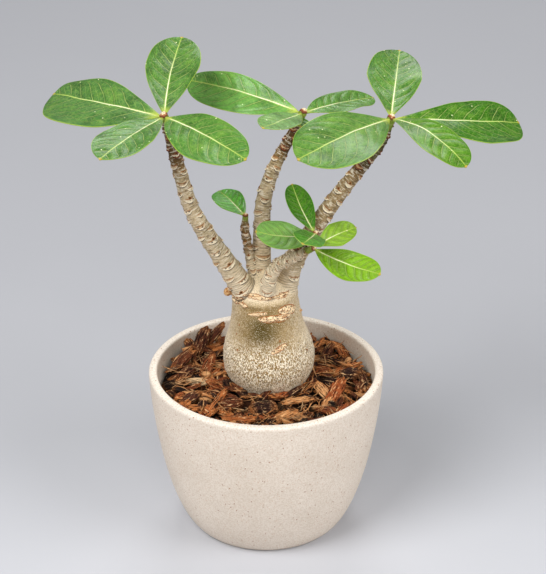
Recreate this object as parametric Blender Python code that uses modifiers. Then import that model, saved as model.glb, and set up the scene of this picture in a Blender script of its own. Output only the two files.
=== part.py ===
"""A young desert rose (Adenium obesum) with a swollen base, in a round stoneware pot of soil and bark.

Metres, +Z up. The origin is the middle of the pot's underside, and the front faces -Y.
"""

import math
import random

import bmesh
import bpy
from mathutils import Matrix, Vector

MM = 0.001
GAP = 0.3 * MM                      # left between two pieces that touch
TURN_STEPS = 48                     # sides of the pot, the soil and the bark bed

# Pot
POT_HEIGHT = 94 * MM
POT_RADIUS = 65 * MM
POT_BASE_RADIUS = 41.6 * MM
POT_WALL = 4.7 * MM
POT_FLOOR = 7 * MM
POT_FOOT_BEVEL = 0.8 * MM
POT_SWELL = (0.0150, 0.155)         # lower handle of the side's curve: outward, share of the height
POT_STAND = (0.0006, 0.75)          # upper handle of the side's curve: inward, share of the height
POT_SIDE_POINTS = 7
LIP_POINTS = 5

# Fill
SOIL_TOP = 76 * MM
BED_TOP = 82 * MM
CHIP_COUNT = 76
CHIP_LENGTH = (11 * MM, 19 * MM)
CHIP_WIDTH = (5 * MM, 8.5 * MM)
CHIP_THICKNESS = (2.4 * MM, 4.2 * MM)
CHIP_TILT = math.radians(24)
CHIP_REACH = 57.8 * MM              # the chips' corners stay inside the wall
CHIP_SEED = 7

# Caudex, the swollen base of the plant: (height, radius) of its side, in mm
CAUDEX_PROFILE = [(44, 3), (52, 10), (64, 15), (76, 18.6), (86, 21.6), (93, 24.4), (99, 25.4), (105, 24.9),
                  (111, 23.3), (117, 21.1), (124, 19.6), (131, 18.5), (136.5, 17.9), (138.5, 18.5),
                  (140.5, 17.3), (144.5, 15), (148, 10.5), (150, 4)]
CAUDEX_AXIS = Vector((1.8 * MM, 4.5 * MM, 93 * MM))
CAUDEX_LEAN = math.radians(-3)
CAUDEX_STEPS = 24
HOLE_CLEARANCE = 0.4 * MM

# Stems: points (x, y, z, radius) in mm from the crown to the tip, with the spacing of the leaf scars
STEMS = {
    "left": dict(spacing=5, ridge=0.45, points=[
        (-9, -1, 139, 7), (-13.6, -2, 147, 6.5), (-22, -5, 162.5, 5.5), (-31.6, -8, 180, 4.7),
        (-39.5, -10, 197, 4.1), (-44.8, -11.5, 218, 3.6), (-49, -12, 236, 2.8), (-52, -12, 248.5, 2.1)]),
    "middle": dict(spacing=5, ridge=0.4, points=[
        (-2, 7, 136, 7), (-2.8, 9, 149, 5.8), (-2.4, 12, 164, 5), (-2.1, 14, 175, 4.5),
        (-1.2, 16.5, 188.5, 4.2), (2.6, 19, 202, 3.7), (8, 21.5, 213.5, 3.2), (14, 24, 224, 2.8),
        (19.5, 26, 235, 2.1)]),
    "right": dict(spacing=5.2, ridge=0.4, points=[
        (9, 3, 137, 7), (11.3, 2, 146, 6.3), (14.4, 2, 157.5, 5.6), (20.9, 2, 170.3, 5.1),
        (27.4, 2, 181, 4.7), (38, 3, 197, 4.2), (46.8, 4, 208.8, 3.7), (53.5, 5, 217.5, 3.4),
        (61, 6, 227.5, 2.8), (65.5, 6, 240, 2.1)]),
    "twig": dict(spacing=5.5, ridge=0.4, points=[
        (-6, 6, 140, 3.2), (-7.2, 5, 149, 2.6), (-8.5, 5.5, 157, 2.3), (-10, 6.5, 167, 2.3),
        (-11.3, 7, 176, 2.2), (-11, 8, 182.5, 1.5)]),
    "front_arm": dict(spacing=6, ridge=0.3, points=[
        (1, -6, 139, 4.6), (1.2, -9, 147, 4.3), (2, -11.5, 155.5, 3.9), (5, -13.5, 162, 3.1),
        (10.5, -18, 168.5, 2.6), (17, -24, 175.5, 2.3), (24.5, -30, 182.5, 1.6)]),
    "rear_arm": dict(spacing=6, ridge=0.3, points=[
        (1.5, -8, 152, 3), (3, -7, 158, 2.6), (7, -8, 163.5, 2.3), (13.5, -12, 170, 2.2),
        (20, -16, 177, 2.1), (24, -18, 181.5, 2), (26, -20, 186, 1.5)]),
}
STEM_TUBE_RINGS = 2                 # of the curve's bevel: eight sides
TIP_RADIUS = {"left": 2.4 * MM, "middle": 2.4 * MM, "right": 2.4 * MM, "twig": 1.7 * MM,
              "front_arm": 1.8 * MM, "rear_arm": 1.8 * MM}
BUD_LENGTH = 3.2                    # times its radius
BUD_SHARE = 0.62                    # of the tip's radius
SIDE_KNOB = dict(place=(-20.1, 1.8, 139.6), radius=2.9)
ARM_STUB = dict(place=(2.4, -12.4, 160.5), radius=2.4)

# Leaves: the stem that carries each, its compass angle, rise and roll, its size, how far it droops and
# turns sideways along its length, where along it is widest, how full its base half is, and how much
# wider one half is than the other. Angles in degrees, sizes in mm.
LEAF_TERMS = ("stem", "heading", "rise", "roll", "length", "width", "droop", "turn", "widest", "fullness",
              "lopsided")
LEAVES = {
    "leaf_left_outer": ("left", 158, 5, -23, 74, 36.5, 28, -19, 0.6, 1.8, -0.2),
    "leaf_left_back": ("left", 90, 18, -2, 62, 29.5, -2, -13, 0.59, 1.35, 0.04),
    "leaf_left_near": ("left", 245, 8, -3, 61, 29, 14, -3, 0.59, 1.2, -0.05),
    "leaf_left_inner": ("left", -59, 11, 24, 67, 29, 26, 4, 0.63, 1.85, 0.18),
    "leaf_middle_outer": ("middle", 153, 12, -42, 69, 23.5, 16, 7, 0.62, 1.9, -0.2),
    "leaf_middle_near": ("middle", 246, 13, -8, 45.5, 21, 4, -4, 0.55, 1.2, -0.09),
    "leaf_middle_young": ("middle", -96, -20, 0, 11, 9, -30, 0, 0.6, 1.8, 0),
    "leaf_middle_inner": ("middle", 51, -5, 16, 55.5, 19, 3, -11, 0.56, 1.8, 0.05),
    "leaf_right_near": ("right", 235, 11, -20, 73.5, 39, 22, -4, 0.59, 1.35, -0.11),
    "leaf_right_back": ("right", 83, 13, 8, 62, 30, 0, 0, 0.54, 1.3, -0.08),
    "leaf_right_outer": ("right", -9, 4, 18, 72, 33, 40, 37, 0.63, 1.2, 0.11),
    "leaf_right_low": ("right", -55, 16, 11, 59.5, 22, 44, -6, 0.7, 1.6, 0.14),
    "leaf_low_top": ("rear_arm", 114, 16, -6, 33.5, 14, -18, -6, 0.66, 2, 0.03),
    "leaf_low_left": ("rear_arm", 222, 8, -33, 35, 19.5, 2, -31, 0.61, 1.6, -0.03),
    "leaf_low_centre": ("rear_arm", 264, 21, -20, 38, 17, 9, -7, 0.66, 1.7, 0),
    "leaf_low_right": ("front_arm", 33, 18, 36, 25.5, 14, 13, -11, 0.5, 1.2, 0),
    "leaf_low_front": ("front_arm", -48, -2, 33, 46, 17.5, -6, 9, 0.64, 1.95, 0.09),
    "leaf_twig": ("twig", 112, 3, -13, 36, 15.5, 8, 5, 0.63, 2.1, -0.06),
}
LEAF_THICKNESS = 0.8 * MM
LEAF_ROWS = 11
LEAF_COLUMNS = 4
LEAF_FOLD = math.radians(8)         # each half of the blade rises from the midrib
LEAF_WAVE = 0.035                   # of the width, at the margin

# Colours
STONEWARE = (0.80, 0.73, 0.65)
SOIL = (0.05, 0.03, 0.02)
BARK_CHIPS = (0.19, 0.075, 0.035)
STEM_BARK = (0.36, 0.30, 0.20)
LEAF_GREEN = (0.09, 0.26, 0.06)


def material(name, colour, roughness):
    made = bpy.data.materials.new(name)
    made.use_nodes = True
    shader = made.node_tree.nodes["Principled BSDF"]
    shader.inputs["Base Color"].default_value = (*colour, 1)
    shader.inputs["Roughness"].default_value = roughness
    shader.inputs["Metallic"].default_value = 0
    made.diffuse_color = (*colour, 1)
    return made


def collection(name, helper=False):
    made = bpy.data.collections.new(name)
    bpy.context.scene.collection.children.link(made)
    made.hide_render = helper
    return made


def place(name, mesh, home):
    made = bpy.data.objects.new(name, mesh)
    home.objects.link(made)
    if home.hide_render:
        made.hide_render = True
        made.display_type = "WIRE"
    return made


def applied(made):
    """Bakes the object's modifiers, or a curve's bevel, into a plain mesh."""
    bpy.context.view_layer.update()
    graph = bpy.context.evaluated_depsgraph_get()
    mesh = bpy.data.meshes.new_from_object(made.evaluated_get(graph))
    if made.type == "MESH":
        made.modifiers.clear()
        made.data = mesh
        return made
    solid = place(made.name + "_solid", mesh, made.users_collection[0])
    bpy.data.objects.remove(made)
    return solid


def cleaned(made, distance=0.001 * MM):
    """Merges doubled points and triangulates, so that a Boolean meets only flat faces."""
    shape = bmesh.new()
    shape.from_mesh(made.data)
    bmesh.ops.remove_doubles(shape, verts=shape.verts, dist=distance)
    bmesh.ops.dissolve_degenerate(shape, dist=distance, edges=shape.edges)
    bmesh.ops.triangulate(shape, faces=shape.faces)
    shape.to_mesh(made.data)
    shape.free()
    return made


def turned(name, profile, home, steps=TURN_STEPS):
    """A solid of revolution about its own Z. The profile runs down its outer side, from axis to axis."""
    mesh = bpy.data.meshes.new(name)
    points = [(radius, 0, height) for radius, height in profile]
    mesh.from_pydata(points, [(i, i + 1) for i in range(len(points) - 1)], [])
    made = place(name, mesh, home)
    screw = made.modifiers.new("Screw", "SCREW")
    screw.steps = steps
    screw.render_steps = steps
    screw.use_merge_vertices = True
    screw.merge_threshold = 0.00001
    screw.use_smooth_shade = False
    return applied(made)


def boolean(made, operation, other):
    """Applies one exact Boolean with an object or with every object of a collection."""
    modifier = made.modifiers.new(operation, "BOOLEAN")
    modifier.operation = operation
    modifier.solver = "EXACT"
    if isinstance(other, bpy.types.Collection):
        modifier.operand_type = "COLLECTION"
        modifier.collection = other
    else:
        modifier.object = other
    return applied(made)


def largest_shell(made):
    """Keeps the biggest connected surface: no pocket closed in between chips, and no crumb cut loose."""
    shape = bmesh.new()
    shape.from_mesh(made.data)
    unseen = set(shape.verts)
    shells = []
    while unseen:
        shell = {unseen.pop()}
        edge = list(shell)
        while edge:
            near = {e.other_vert(vert) for vert in edge for e in vert.link_edges} & unseen
            unseen -= near
            shell |= near
            edge = list(near)
        shells.append(shell)
    biggest = max(shells, key=len)
    loose = [vert for shell in shells if shell is not biggest for vert in shell]
    bmesh.ops.delete(shape, geom=loose, context="VERTS")
    shape.to_mesh(made.data)
    shape.free()
    return made


def emptied(helpers):
    for helper in list(helpers.objects):
        bpy.data.objects.remove(helper)


def smooth_points(points, per_span):
    """Points on the Catmull-Rom curve through the given ones."""
    points = [Vector(p) for p in points]
    ends = [points[0] * 2 - points[1], *points, points[-1] * 2 - points[-2]]
    out = []
    for before, start, end, after in zip(ends, ends[1:], ends[2:], ends[3:]):
        for step in range(per_span):
            t = step / per_span
            bend = 2 * before - 5 * start + 4 * end - after
            twist = 3 * start - before - 3 * end + after
            out.append(0.5 * (2 * start + (end - before) * t + bend * t**2 + twist * t**3))
    return [*out, points[-1]]


# Pot

def pot_side():
    """The outer side from the foot to the rim as (radius, height), on one Bezier curve."""
    foot = Vector((POT_BASE_RADIUS, 0))
    swell = foot + Vector((POT_SWELL[0], POT_SWELL[1] * POT_HEIGHT))
    stand = Vector((POT_RADIUS - POT_STAND[0], POT_STAND[1] * POT_HEIGHT))
    rim = Vector((POT_RADIUS, POT_HEIGHT))
    side = []
    for step in range(POT_SIDE_POINTS + 1):
        t = step / POT_SIDE_POINTS
        rest = 1 - t
        side.append(foot * rest**3 + swell * 3 * t * rest**2 + stand * 3 * t**2 * rest + rim * t**3)
    return side


def inner_wall(top, floor, clearance=0.0):
    """The wall's inside, or a solid's side that is clear of it, from the top down as (radius, height)."""
    side = [(p.x - POT_WALL, p.y) for p in pot_side()]

    def radius(height):
        for (low_r, low_z), (high_r, high_z) in zip(side, side[1:]):
            if height <= high_z:
                return low_r + (high_r - low_r) * (height - low_z) / (high_z - low_z) - clearance
        return side[-1][0] - clearance

    between = [z for _, z in reversed(side) if floor < z < top]
    return [(radius(z), z) for z in (top, *between, floor)]


def make_pot(home):
    outer = pot_side()
    half = POT_WALL / 2
    lip_middle = Vector((POT_RADIUS - half, POT_HEIGHT - half))
    lip = []
    for step in range(LIP_POINTS + 1):
        angle = math.pi * (1 - step / LIP_POINTS)
        lip.append((lip_middle.x + half * math.cos(angle), lip_middle.y + half * math.sin(angle)))
    inside = inner_wall(lip_middle.y, POT_FLOOR)[:0:-1]
    outside = [(p.x, p.y) for p in reversed(outer) if POT_FOOT_BEVEL * 2 < p.y < lip_middle.y - half]
    foot = [(POT_BASE_RADIUS + 0.3 * POT_FOOT_BEVEL, POT_FOOT_BEVEL), (POT_BASE_RADIUS - POT_FOOT_BEVEL, 0)]
    profile = [(0, POT_FLOOR), *inside, *lip, *outside, *foot, (0, 0)]
    pot = turned("pot", profile, home)
    pot.data.materials.append(material("stoneware", STONEWARE, 0.75))
    return cleaned(pot)


# Plant

def caudex_solid(name, home, clearance=0.0):
    profile = [(radius * MM + clearance, height * MM) for height, radius in reversed(CAUDEX_PROFILE)]
    top = (0, profile[0][1] + clearance + MM)
    bottom = (0, profile[-1][1] - clearance - MM)
    made = turned(name, [top, *profile, bottom], home, CAUDEX_STEPS)
    lean = Matrix.Rotation(CAUDEX_LEAN, 4, "Y")
    height = Vector((0, 0, CAUDEX_AXIS.z))
    made.data.transform(Matrix.Translation(CAUDEX_AXIS) @ lean @ Matrix.Translation(-height))
    return cleaned(made)


def stem_path(stem):
    """Points and radii along a stem, one ridge for each ring of leaf scars."""
    fine = smooth_points([Vector(p) for p in stem["points"]], 12)
    travelled = [0.0]
    for start, end in zip(fine, fine[1:]):
        travelled.append(travelled[-1] + (end.xyz - start.xyz).length)

    def at(distance):
        for index in range(len(fine) - 1):
            if distance <= travelled[index + 1]:
                share = (distance - travelled[index]) / (travelled[index + 1] - travelled[index])
                return fine[index].lerp(fine[index + 1], share)
        return fine[-1]

    rings = round(travelled[-1] / stem["spacing"])
    spacing = travelled[-1] / rings
    path = []
    for ring in range(rings):
        low = at(ring * spacing)
        high = at((ring + 0.72) * spacing)
        rise = stem["ridge"] * min(1, 1.6 * (1 - ring / rings) + 0.3)
        path.append((low.xyz, low.w))
        path.append((high.xyz, high.w + rise))
    path.append((fine[-1].xyz, fine[-1].w))
    return path


def stem_tube(name, stem, home):
    curve = bpy.data.curves.new(name, "CURVE")
    curve.dimensions = "3D"
    curve.bevel_depth = MM
    curve.bevel_resolution = STEM_TUBE_RINGS
    curve.use_fill_caps = True
    path = stem_path(stem)
    spline = curve.splines.new("POLY")
    spline.points.add(len(path) - 1)
    for point, (place_on_path, radius) in zip(spline.points, path):
        point.co = (*(place_on_path * MM), 1)
        point.radius = radius
    return cleaned(applied(place(name, curve, home)))


def ball(name, centre, radius, home, stretch=1.0, direction=Vector((0, 0, 1))):
    shape = bmesh.new()
    bmesh.ops.create_uvsphere(shape, u_segments=8, v_segments=6, radius=radius)
    bmesh.ops.scale(shape, vec=(1, 1, stretch), verts=shape.verts)
    turn = direction.to_track_quat("Z", "Y").to_matrix().to_4x4()
    bmesh.ops.transform(shape, matrix=Matrix.Translation(centre) @ turn, verts=shape.verts)
    mesh = bpy.data.meshes.new(name)
    shape.to_mesh(mesh)
    shape.free()
    return cleaned(place(name, mesh, home))


def tip_of(stem_name):
    return Vector(STEMS[stem_name]["points"][-1][:3]) * MM


def make_plant(home):
    growth = collection("plant_growth", helper=True)
    for name, stem in STEMS.items():
        stem_tube(name, stem, growth)
        tip = tip_of(name)
        below = Vector(stem["points"][-2][:3]) * MM
        upward = ((tip - below).normalized() + Vector((0, 0, 1))).normalized()
        radius = TIP_RADIUS[name]
        ball(name + "_tip", tip, radius, growth)
        bud = radius * BUD_SHARE
        ball(name + "_bud", tip + upward * radius * 0.75, bud, growth, BUD_LENGTH / 2, upward)
    for name, knob in (("side_knob", SIDE_KNOB), ("arm_stub", ARM_STUB)):
        ball(name, Vector(knob["place"]) * MM, knob["radius"] * MM, growth)
    plant = caudex_solid("adenium_plant", home)
    plant = cleaned(boolean(plant, "UNION", growth))
    emptied(growth)
    bpy.data.collections.remove(growth)
    plant.data.materials.clear()
    plant.data.materials.append(material("stem_bark", STEM_BARK, 0.8))
    return plant


# Leaves

def blade_half_width(along, leaf):
    """Half the blade's width as a share of its most, along its length from 0 to 1."""
    widest = leaf["widest"]
    if along < widest:
        return 1 - 0.95 * ((widest - along) / widest)**leaf["fullness"]
    return math.sqrt(max(0, 1 - ((along - widest) / (1 - widest))**2.1))


def leaf_rows(leaf):
    """For each row across the blade: how far along, the midrib point, the sideways and the up direction."""
    angles = ("heading", "rise", "roll", "droop", "turn")
    heading, rise, roll, droop, turn = (math.radians(leaf[k]) for k in angles)
    level = Vector((math.cos(heading), math.sin(heading), 0))
    along = level * math.cos(rise) + Vector((0, 0, math.sin(rise)))
    side = along.cross(Vector((0, 0, 1))).normalized()
    up = side.cross(along)
    rolled = Matrix.Rotation(roll, 3, along)
    side, up = rolled @ side, rolled @ up

    def frame(share):
        bent = Matrix.Rotation(-droop * share, 3, side)
        turned_round = Matrix.Rotation(turn * share, 3, bent @ up)
        return turned_round @ (bent @ along), turned_round @ side, bent @ up

    point = tip_of(leaf["stem"]) + along * (TIP_RADIUS[leaf["stem"]] + GAP)
    rows = []
    before = 0.0
    for row in range(LEAF_ROWS + 1):
        share = 0.998 * (1 - math.cos(math.pi * row / LEAF_ROWS)) / 2
        point = point + frame((before + share) / 2)[0] * (share - before) * leaf["length"] * MM
        before = share
        rows.append((share, point, *frame(share)[1:]))
    return rows


def make_leaf(name, leaf, home, green):
    shape = bmesh.new()
    bmesh.ops.create_grid(shape, x_segments=LEAF_ROWS, y_segments=LEAF_COLUMNS, size=1)
    rows = leaf_rows(leaf)
    width = leaf["width"] * MM
    for vert in shape.verts:
        row = round((vert.co.x + 1) / 2 * LEAF_ROWS)
        across = vert.co.y
        share, middle, side, up = rows[row]
        full = blade_half_width(share, leaf)
        half = full * width / 2 * (1 + leaf["lopsided"] * across)
        wave = LEAF_WAVE * width * across**2 * math.sin(9 * share + math.radians(leaf["heading"]) + across)
        outward = side * math.cos(LEAF_FOLD) * across
        lift = up * math.sin(LEAF_FOLD) * abs(across)
        vert.co = middle + (outward + lift) * half + up * wave * full
    bmesh.ops.triangulate(shape, faces=shape.faces)
    mesh = bpy.data.meshes.new(name)
    shape.to_mesh(mesh)
    shape.free()
    made = place(name, mesh, home)
    thicken = made.modifiers.new("Thickness", "SOLIDIFY")
    thicken.thickness = LEAF_THICKNESS
    thicken.offset = 0
    applied(made)
    made.data.materials.clear()
    made.data.materials.append(green)
    return made


# Fill

def make_soil(home, caudex_hole):
    top_ring = inner_wall(SOIL_TOP, POT_FLOOR + GAP, GAP)
    soil = turned("potting_soil", [(0, SOIL_TOP), *top_ring, (0, POT_FLOOR + GAP)], home)
    soil = cleaned(boolean(cleaned(soil), "DIFFERENCE", caudex_hole))
    soil.data.materials.clear()
    soil.data.materials.append(material("soil", SOIL, 0.95))
    return soil


def chip_solid(name, rng, home):
    """One splinter of bark: a box with its corners pulled about."""
    shape = bmesh.new()
    bmesh.ops.create_cube(shape, size=1)
    size = Vector((rng.uniform(*CHIP_LENGTH), rng.uniform(*CHIP_WIDTH), rng.uniform(*CHIP_THICKNESS)))
    for vert in shape.verts:
        pull = Vector((rng.uniform(0.7, 1.05), rng.uniform(0.6, 1.1), rng.uniform(0.65, 1.1)))
        vert.co = Vector(c * s * p for c, s, p in zip(vert.co, size, pull))
    bmesh.ops.triangulate(shape, faces=shape.faces)
    mesh = bpy.data.meshes.new(name)
    shape.to_mesh(mesh)
    shape.free()
    return place(name, mesh, home)


def chip_places(rng):
    """Evenly spread places on the bed, with the spacing shrinking until all of them fit."""
    inner = 20 * MM
    outer = POT_RADIUS - POT_WALL - 5.5 * MM
    spacing = 9.5 * MM
    places = []
    while len(places) < CHIP_COUNT:
        spacing *= 0.999
        radius = math.sqrt(rng.uniform(inner**2, outer**2))
        angle = rng.uniform(0, 2 * math.pi)
        spot = Vector((radius * math.cos(angle), radius * math.sin(angle)))
        if all((spot - other).length > spacing for other in places):
            places.append(spot)
    return places


def make_mulch(home, caudex_hole):
    rng = random.Random(CHIP_SEED)
    chips = collection("chips", helper=True)
    centre = CAUDEX_AXIS.xy
    for number, spot in enumerate(chip_places(rng)):
        chip = chip_solid(f"chip_{number}", rng, chips)
        heap = 3 * MM * max(0, 1 - ((spot - centre).length - 20 * MM) / (20 * MM))
        lift = BED_TOP + heap + rng.uniform(0.2, 1.6) * MM
        turn = Matrix.Rotation(rng.uniform(0, math.pi), 4, "Z")
        tilt = Matrix.Rotation(rng.uniform(-CHIP_TILT, CHIP_TILT), 4, "Y")
        roll = Matrix.Rotation(rng.uniform(-CHIP_TILT, CHIP_TILT), 4, "X")
        chip.data.transform(Matrix.Translation((*spot, lift)) @ turn @ tilt @ roll)
        for vert in chip.data.vertices:
            pull_in = min(1, CHIP_REACH / vert.co.xy.length)
            vert.co = (vert.co.x * pull_in, vert.co.y * pull_in, vert.co.z)
    bottom = SOIL_TOP + GAP
    heaped = [(0, BED_TOP + 3 * MM), (26 * MM, BED_TOP + 3 * MM), (40 * MM, BED_TOP + 0.5 * MM)]
    mulch = turned("bark_mulch", [*heaped, *inner_wall(BED_TOP, bottom, GAP), (0, bottom)], home)
    mulch = cleaned(boolean(cleaned(mulch), "UNION", chips))
    emptied(chips)
    bpy.data.collections.remove(chips)
    mulch = largest_shell(cleaned(boolean(mulch, "DIFFERENCE", caudex_hole)))
    mulch.data.materials.clear()
    mulch.data.materials.append(material("bark_chips", BARK_CHIPS, 0.9))
    return mulch


def main():
    for old in list(bpy.data.objects):
        bpy.data.objects.remove(old)
    home = collection("potted_desert_rose")
    cutters = collection("cutters", helper=True)
    caudex_hole = caudex_solid("caudex_hole", cutters, HOLE_CLEARANCE)
    make_pot(home)
    make_soil(home, caudex_hole)
    make_mulch(home, caudex_hole)
    make_plant(home)
    green = material("leaf", LEAF_GREEN, 0.4)
    for name, values in LEAVES.items():
        make_leaf(name, dict(zip(LEAF_TERMS, values)), home, green)


main()
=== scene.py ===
import math
import random
from functools import partial

import bpy
import numpy as np
from mathutils import Matrix, Vector, noise


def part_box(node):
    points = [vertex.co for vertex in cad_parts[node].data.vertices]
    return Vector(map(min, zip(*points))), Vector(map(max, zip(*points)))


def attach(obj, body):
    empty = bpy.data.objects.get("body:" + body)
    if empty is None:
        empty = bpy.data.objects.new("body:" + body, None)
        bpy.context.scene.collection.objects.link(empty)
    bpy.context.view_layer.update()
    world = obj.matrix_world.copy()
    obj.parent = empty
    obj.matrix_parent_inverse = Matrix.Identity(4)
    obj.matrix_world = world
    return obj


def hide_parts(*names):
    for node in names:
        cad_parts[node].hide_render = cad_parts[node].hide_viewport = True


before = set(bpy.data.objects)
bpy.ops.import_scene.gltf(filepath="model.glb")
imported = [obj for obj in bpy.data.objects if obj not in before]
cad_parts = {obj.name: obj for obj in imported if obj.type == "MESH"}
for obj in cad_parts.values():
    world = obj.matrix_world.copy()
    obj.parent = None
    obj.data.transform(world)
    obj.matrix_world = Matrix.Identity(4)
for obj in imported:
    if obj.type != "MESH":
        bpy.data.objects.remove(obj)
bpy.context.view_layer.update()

mm = 0.001
soft = {"interpolation_type": "SMOOTHSTEP"}   # a soft step from one value to another
layer = {"data_type": "RGBA"}                 # one colour over another
plus, times, timesPlus = ({"operation": name} for name in ("ADD", "MULTIPLY", "MULTIPLY_ADD"))
print("frame loaded")


# small helpers

def toLinear(hexColour):
    parts = [int(hexColour[i:i + 2], 16) / 255 for i in (1, 3, 5)]
    return (*(c / 12.92 if c <= 0.04045 else ((c + 0.055) / 1.055) ** 2.4 for c in parts), 1.0)


def addNode(tree, kind, *inputs, out=0, stops=(), **settings):  # each input is a link, a value or None
    node = tree.nodes.new("ShaderNode" + kind)
    for name, value in settings.items():
        setattr(node, name, value)
    for number, (place, colour) in enumerate(stops):
        elements = node.color_ramp.elements
        stop = elements[number] if number < len(elements) else elements.new(place)
        stop.position = place
        stop.color = toLinear(colour)
    for socket, value in zip([s for s in node.inputs if s.enabled], inputs):
        if isinstance(value, bpy.types.NodeSocket):
            tree.links.new(value, socket)
        elif value is not None:
            socket.default_value = toLinear(value) if isinstance(value, str) else value
    return [s for s in node.outputs if s.enabled][out]


def newMaterial(name, ior, roughness, specular):
    material = bpy.data.materials.new(name)
    material.use_nodes = True
    shader = material.node_tree.nodes["Principled BSDF"]
    shader.inputs["IOR"].default_value = ior
    shader.inputs["Roughness"].default_value = roughness
    shader.inputs["Specular IOR Level"].default_value = specular
    return material, partial(addNode, material.node_tree)


def painted(add, colour, *layers):  # each a colour and amount, or a colour, field, its range and amounts
    for over, amount, *steps in layers:
        if steps:
            amount = add("MapRange", amount, *steps, **soft)
        colour = add("Mix", amount, colour, over, **layer)
    return colour


def surfaced(material, colour, relief, strength, depth):  # depth in mm from the lowest to the highest
    tree = material.node_tree
    shader = tree.nodes["Principled BSDF"]
    tree.links.new(colour, shader.inputs["Base Color"])
    tree.links.new(addNode(tree, "Bump", strength, depth * mm, None, relief), shader.inputs["Normal"])
    return material


def newObject(name, data):
    thing = bpy.data.objects.new(name, data)
    bpy.context.scene.collection.objects.link(thing)
    return thing


def meshPiece(name, points, faces, material, flat=False):
    mesh = bpy.data.meshes.new(name)
    mesh.from_pydata([tuple(p) for p in points], [], faces)
    mesh.validate()
    mesh.materials.append(material)
    mesh.polygons.foreach_set("use_smooth", [not flat] * len(mesh.polygons))
    piece = newObject(name, mesh)
    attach(piece, "root")
    return piece


def giveValues(mesh, domain="POINT", **named):  # one number or three for each point or corner, or one for all
    for name, values in named.items():
        values = np.asarray(values, np.float32)
        kind, field = ("FLOAT_VECTOR", "vector") if values.ndim == 2 else ("FLOAT", "value")
        data = mesh.attributes.new(name, kind, domain).data
        data.foreach_set(field, values.ravel() if values.ndim else np.full(len(data), values))


def smoothPoints(points, perSpan):  # a Catmull-Rom curve, with as many numbers a point as given
    points = [np.array(p, float) for p in points]
    ends = [2 * points[0] - points[1], *points, 2 * points[-1] - points[-2]]
    out = []
    for before, start, end, after in zip(ends, ends[1:], ends[2:], ends[3:]):
        bend = 2 * before - 5 * start + 4 * end - after
        twist = 3 * start - before - 3 * end + after
        for t in np.arange(perSpan) / perSpan:
            out.append(0.5 * (2 * start + (end - before) * t + bend * t ** 2 + twist * t ** 3))
    return np.array([*out, points[-1]])


def sideFaces(rows, steps):  # quads round a tube, row by row
    faces = []
    for k in range(rows - 1):
        for s in range(steps):
            a, b = k * steps + s, k * steps + (s + 1) % steps
            faces.append((a, b, b + steps, a + steps))
    return faces


def lathe(profile, steps):  # profile is (radius, height) from axis to axis; gives points and faces
    inner = [(r, z) for r, z in profile if r > 1e-7]
    around = [2 * math.pi * s / steps for s in range(steps)]
    points = [(r * math.cos(a), r * math.sin(a), z) for r, z in inner for a in around]
    faces = [(a, d, c, b) for a, b, c, d in sideFaces(len(inner), steps)]
    top, bottom, last = len(points), len(points) + 1, (len(inner) - 1) * steps
    points += [(0, 0, profile[0][1]), (0, 0, profile[-1][1])]
    faces += [(top, s, (s + 1) % steps) for s in range(steps)]
    faces += [(bottom, last + (s + 1) % steps, last + s) for s in range(steps)]
    return np.array(points), faces


def joined(parts):  # [(points, faces)] as one list of each
    faces, total = [], 0
    for points, own in parts:
        faces += [tuple(i + total for i in f) for f in own]
        total += len(points)
    return np.concatenate([points for points, own in parts]), faces


def sheetFaces(rows, columns):  # a closed sheet: rows of upper points, then as many rows of lower ones
    total, faces = rows * columns, []
    for row in range(rows - 1):
        for k in range(columns - 1):
            a = row * columns + k
            b = total + a
            faces.append((a, a + 1, a + columns + 1, a + columns))
            faces.append((b, b + columns, b + columns + 1, b + 1))
        a, b = row * columns, (row + 1) * columns - 1
        faces.append((a, a + columns, total + a + columns, total + a))
        faces.append((b, total + b, total + b + columns, b + columns))
    for k in range(columns - 1):
        a, b = k, total - columns + k
        faces.append((a, total + a, total + a + 1, a + 1))
        faces.append((b, b + 1, total + b + 1, total + b))
    return faces


# camera, light and floor

studio = {
    "lens": 125, "pitch": 27.4, "distance": 1.083, "aim": (0.0038, 0.0, 0.1442),
    # painted light: the floor goes from the far colour to the paler near one between the two y values, in
    # metres
    "floorLitNear": "#C0C1C6", "floorDimFar": "#B4B5BA", "floorSize": 12.0, "floorFalloff": (-0.09, 0.16),
    # place, size and power of each softbox
    "lamps": {
        "key": ((-0.75, -0.75, 1.35), 0.95, 23.0), "front": ((0.1, -1.6, 1.1), 1.0, 7.5),
        "right": ((1.1, -0.6, 0.9), 1.0, 11.5), "back": ((0.1, 1.4, 1.4), 1.0, 11.0),
    },
    "skyColour": "#FFFFFF", "skyStrength": 0.21,
}


def areaLight(name, place, size, power, aim):
    light = bpy.data.lights.new(name, "AREA")
    light.shape = "DISK"
    light.size = size
    light.energy = power
    lamp = newObject(name, light)
    lamp.location = place
    lamp.rotation_euler = (Vector(aim) - Vector(place)).to_track_quat("-Z", "Y").to_euler()


def paperMaterial(d):
    # seamless backdrop paper, calendered: flat matt pulp; painted light: paler towards the front edge and
    # darker towards the back, as the softboxes' light falls off
    material, add = newMaterial("backdropPaper", 1.45, 0.85, 0.25)
    place = add("TexCoord", out=3)
    near = add("MapRange", add("SeparateXYZ", place, out=1), *d["floorFalloff"], 1, 0, **soft)
    cloud = add("MapRange", add("TexNoise", place, 0.004 / mm, 2), 0.3, 0.7, -0.1, 0.1, **soft)
    near = add("Math", near, cloud, **plus, use_clamp=True)
    colour = painted(add, d["floorDimFar"], (d["floorLitNear"], near))
    return surfaced(material, colour, add("TexNoise", place, 0.5 / mm, 2), 0.05, 0.1)


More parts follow.
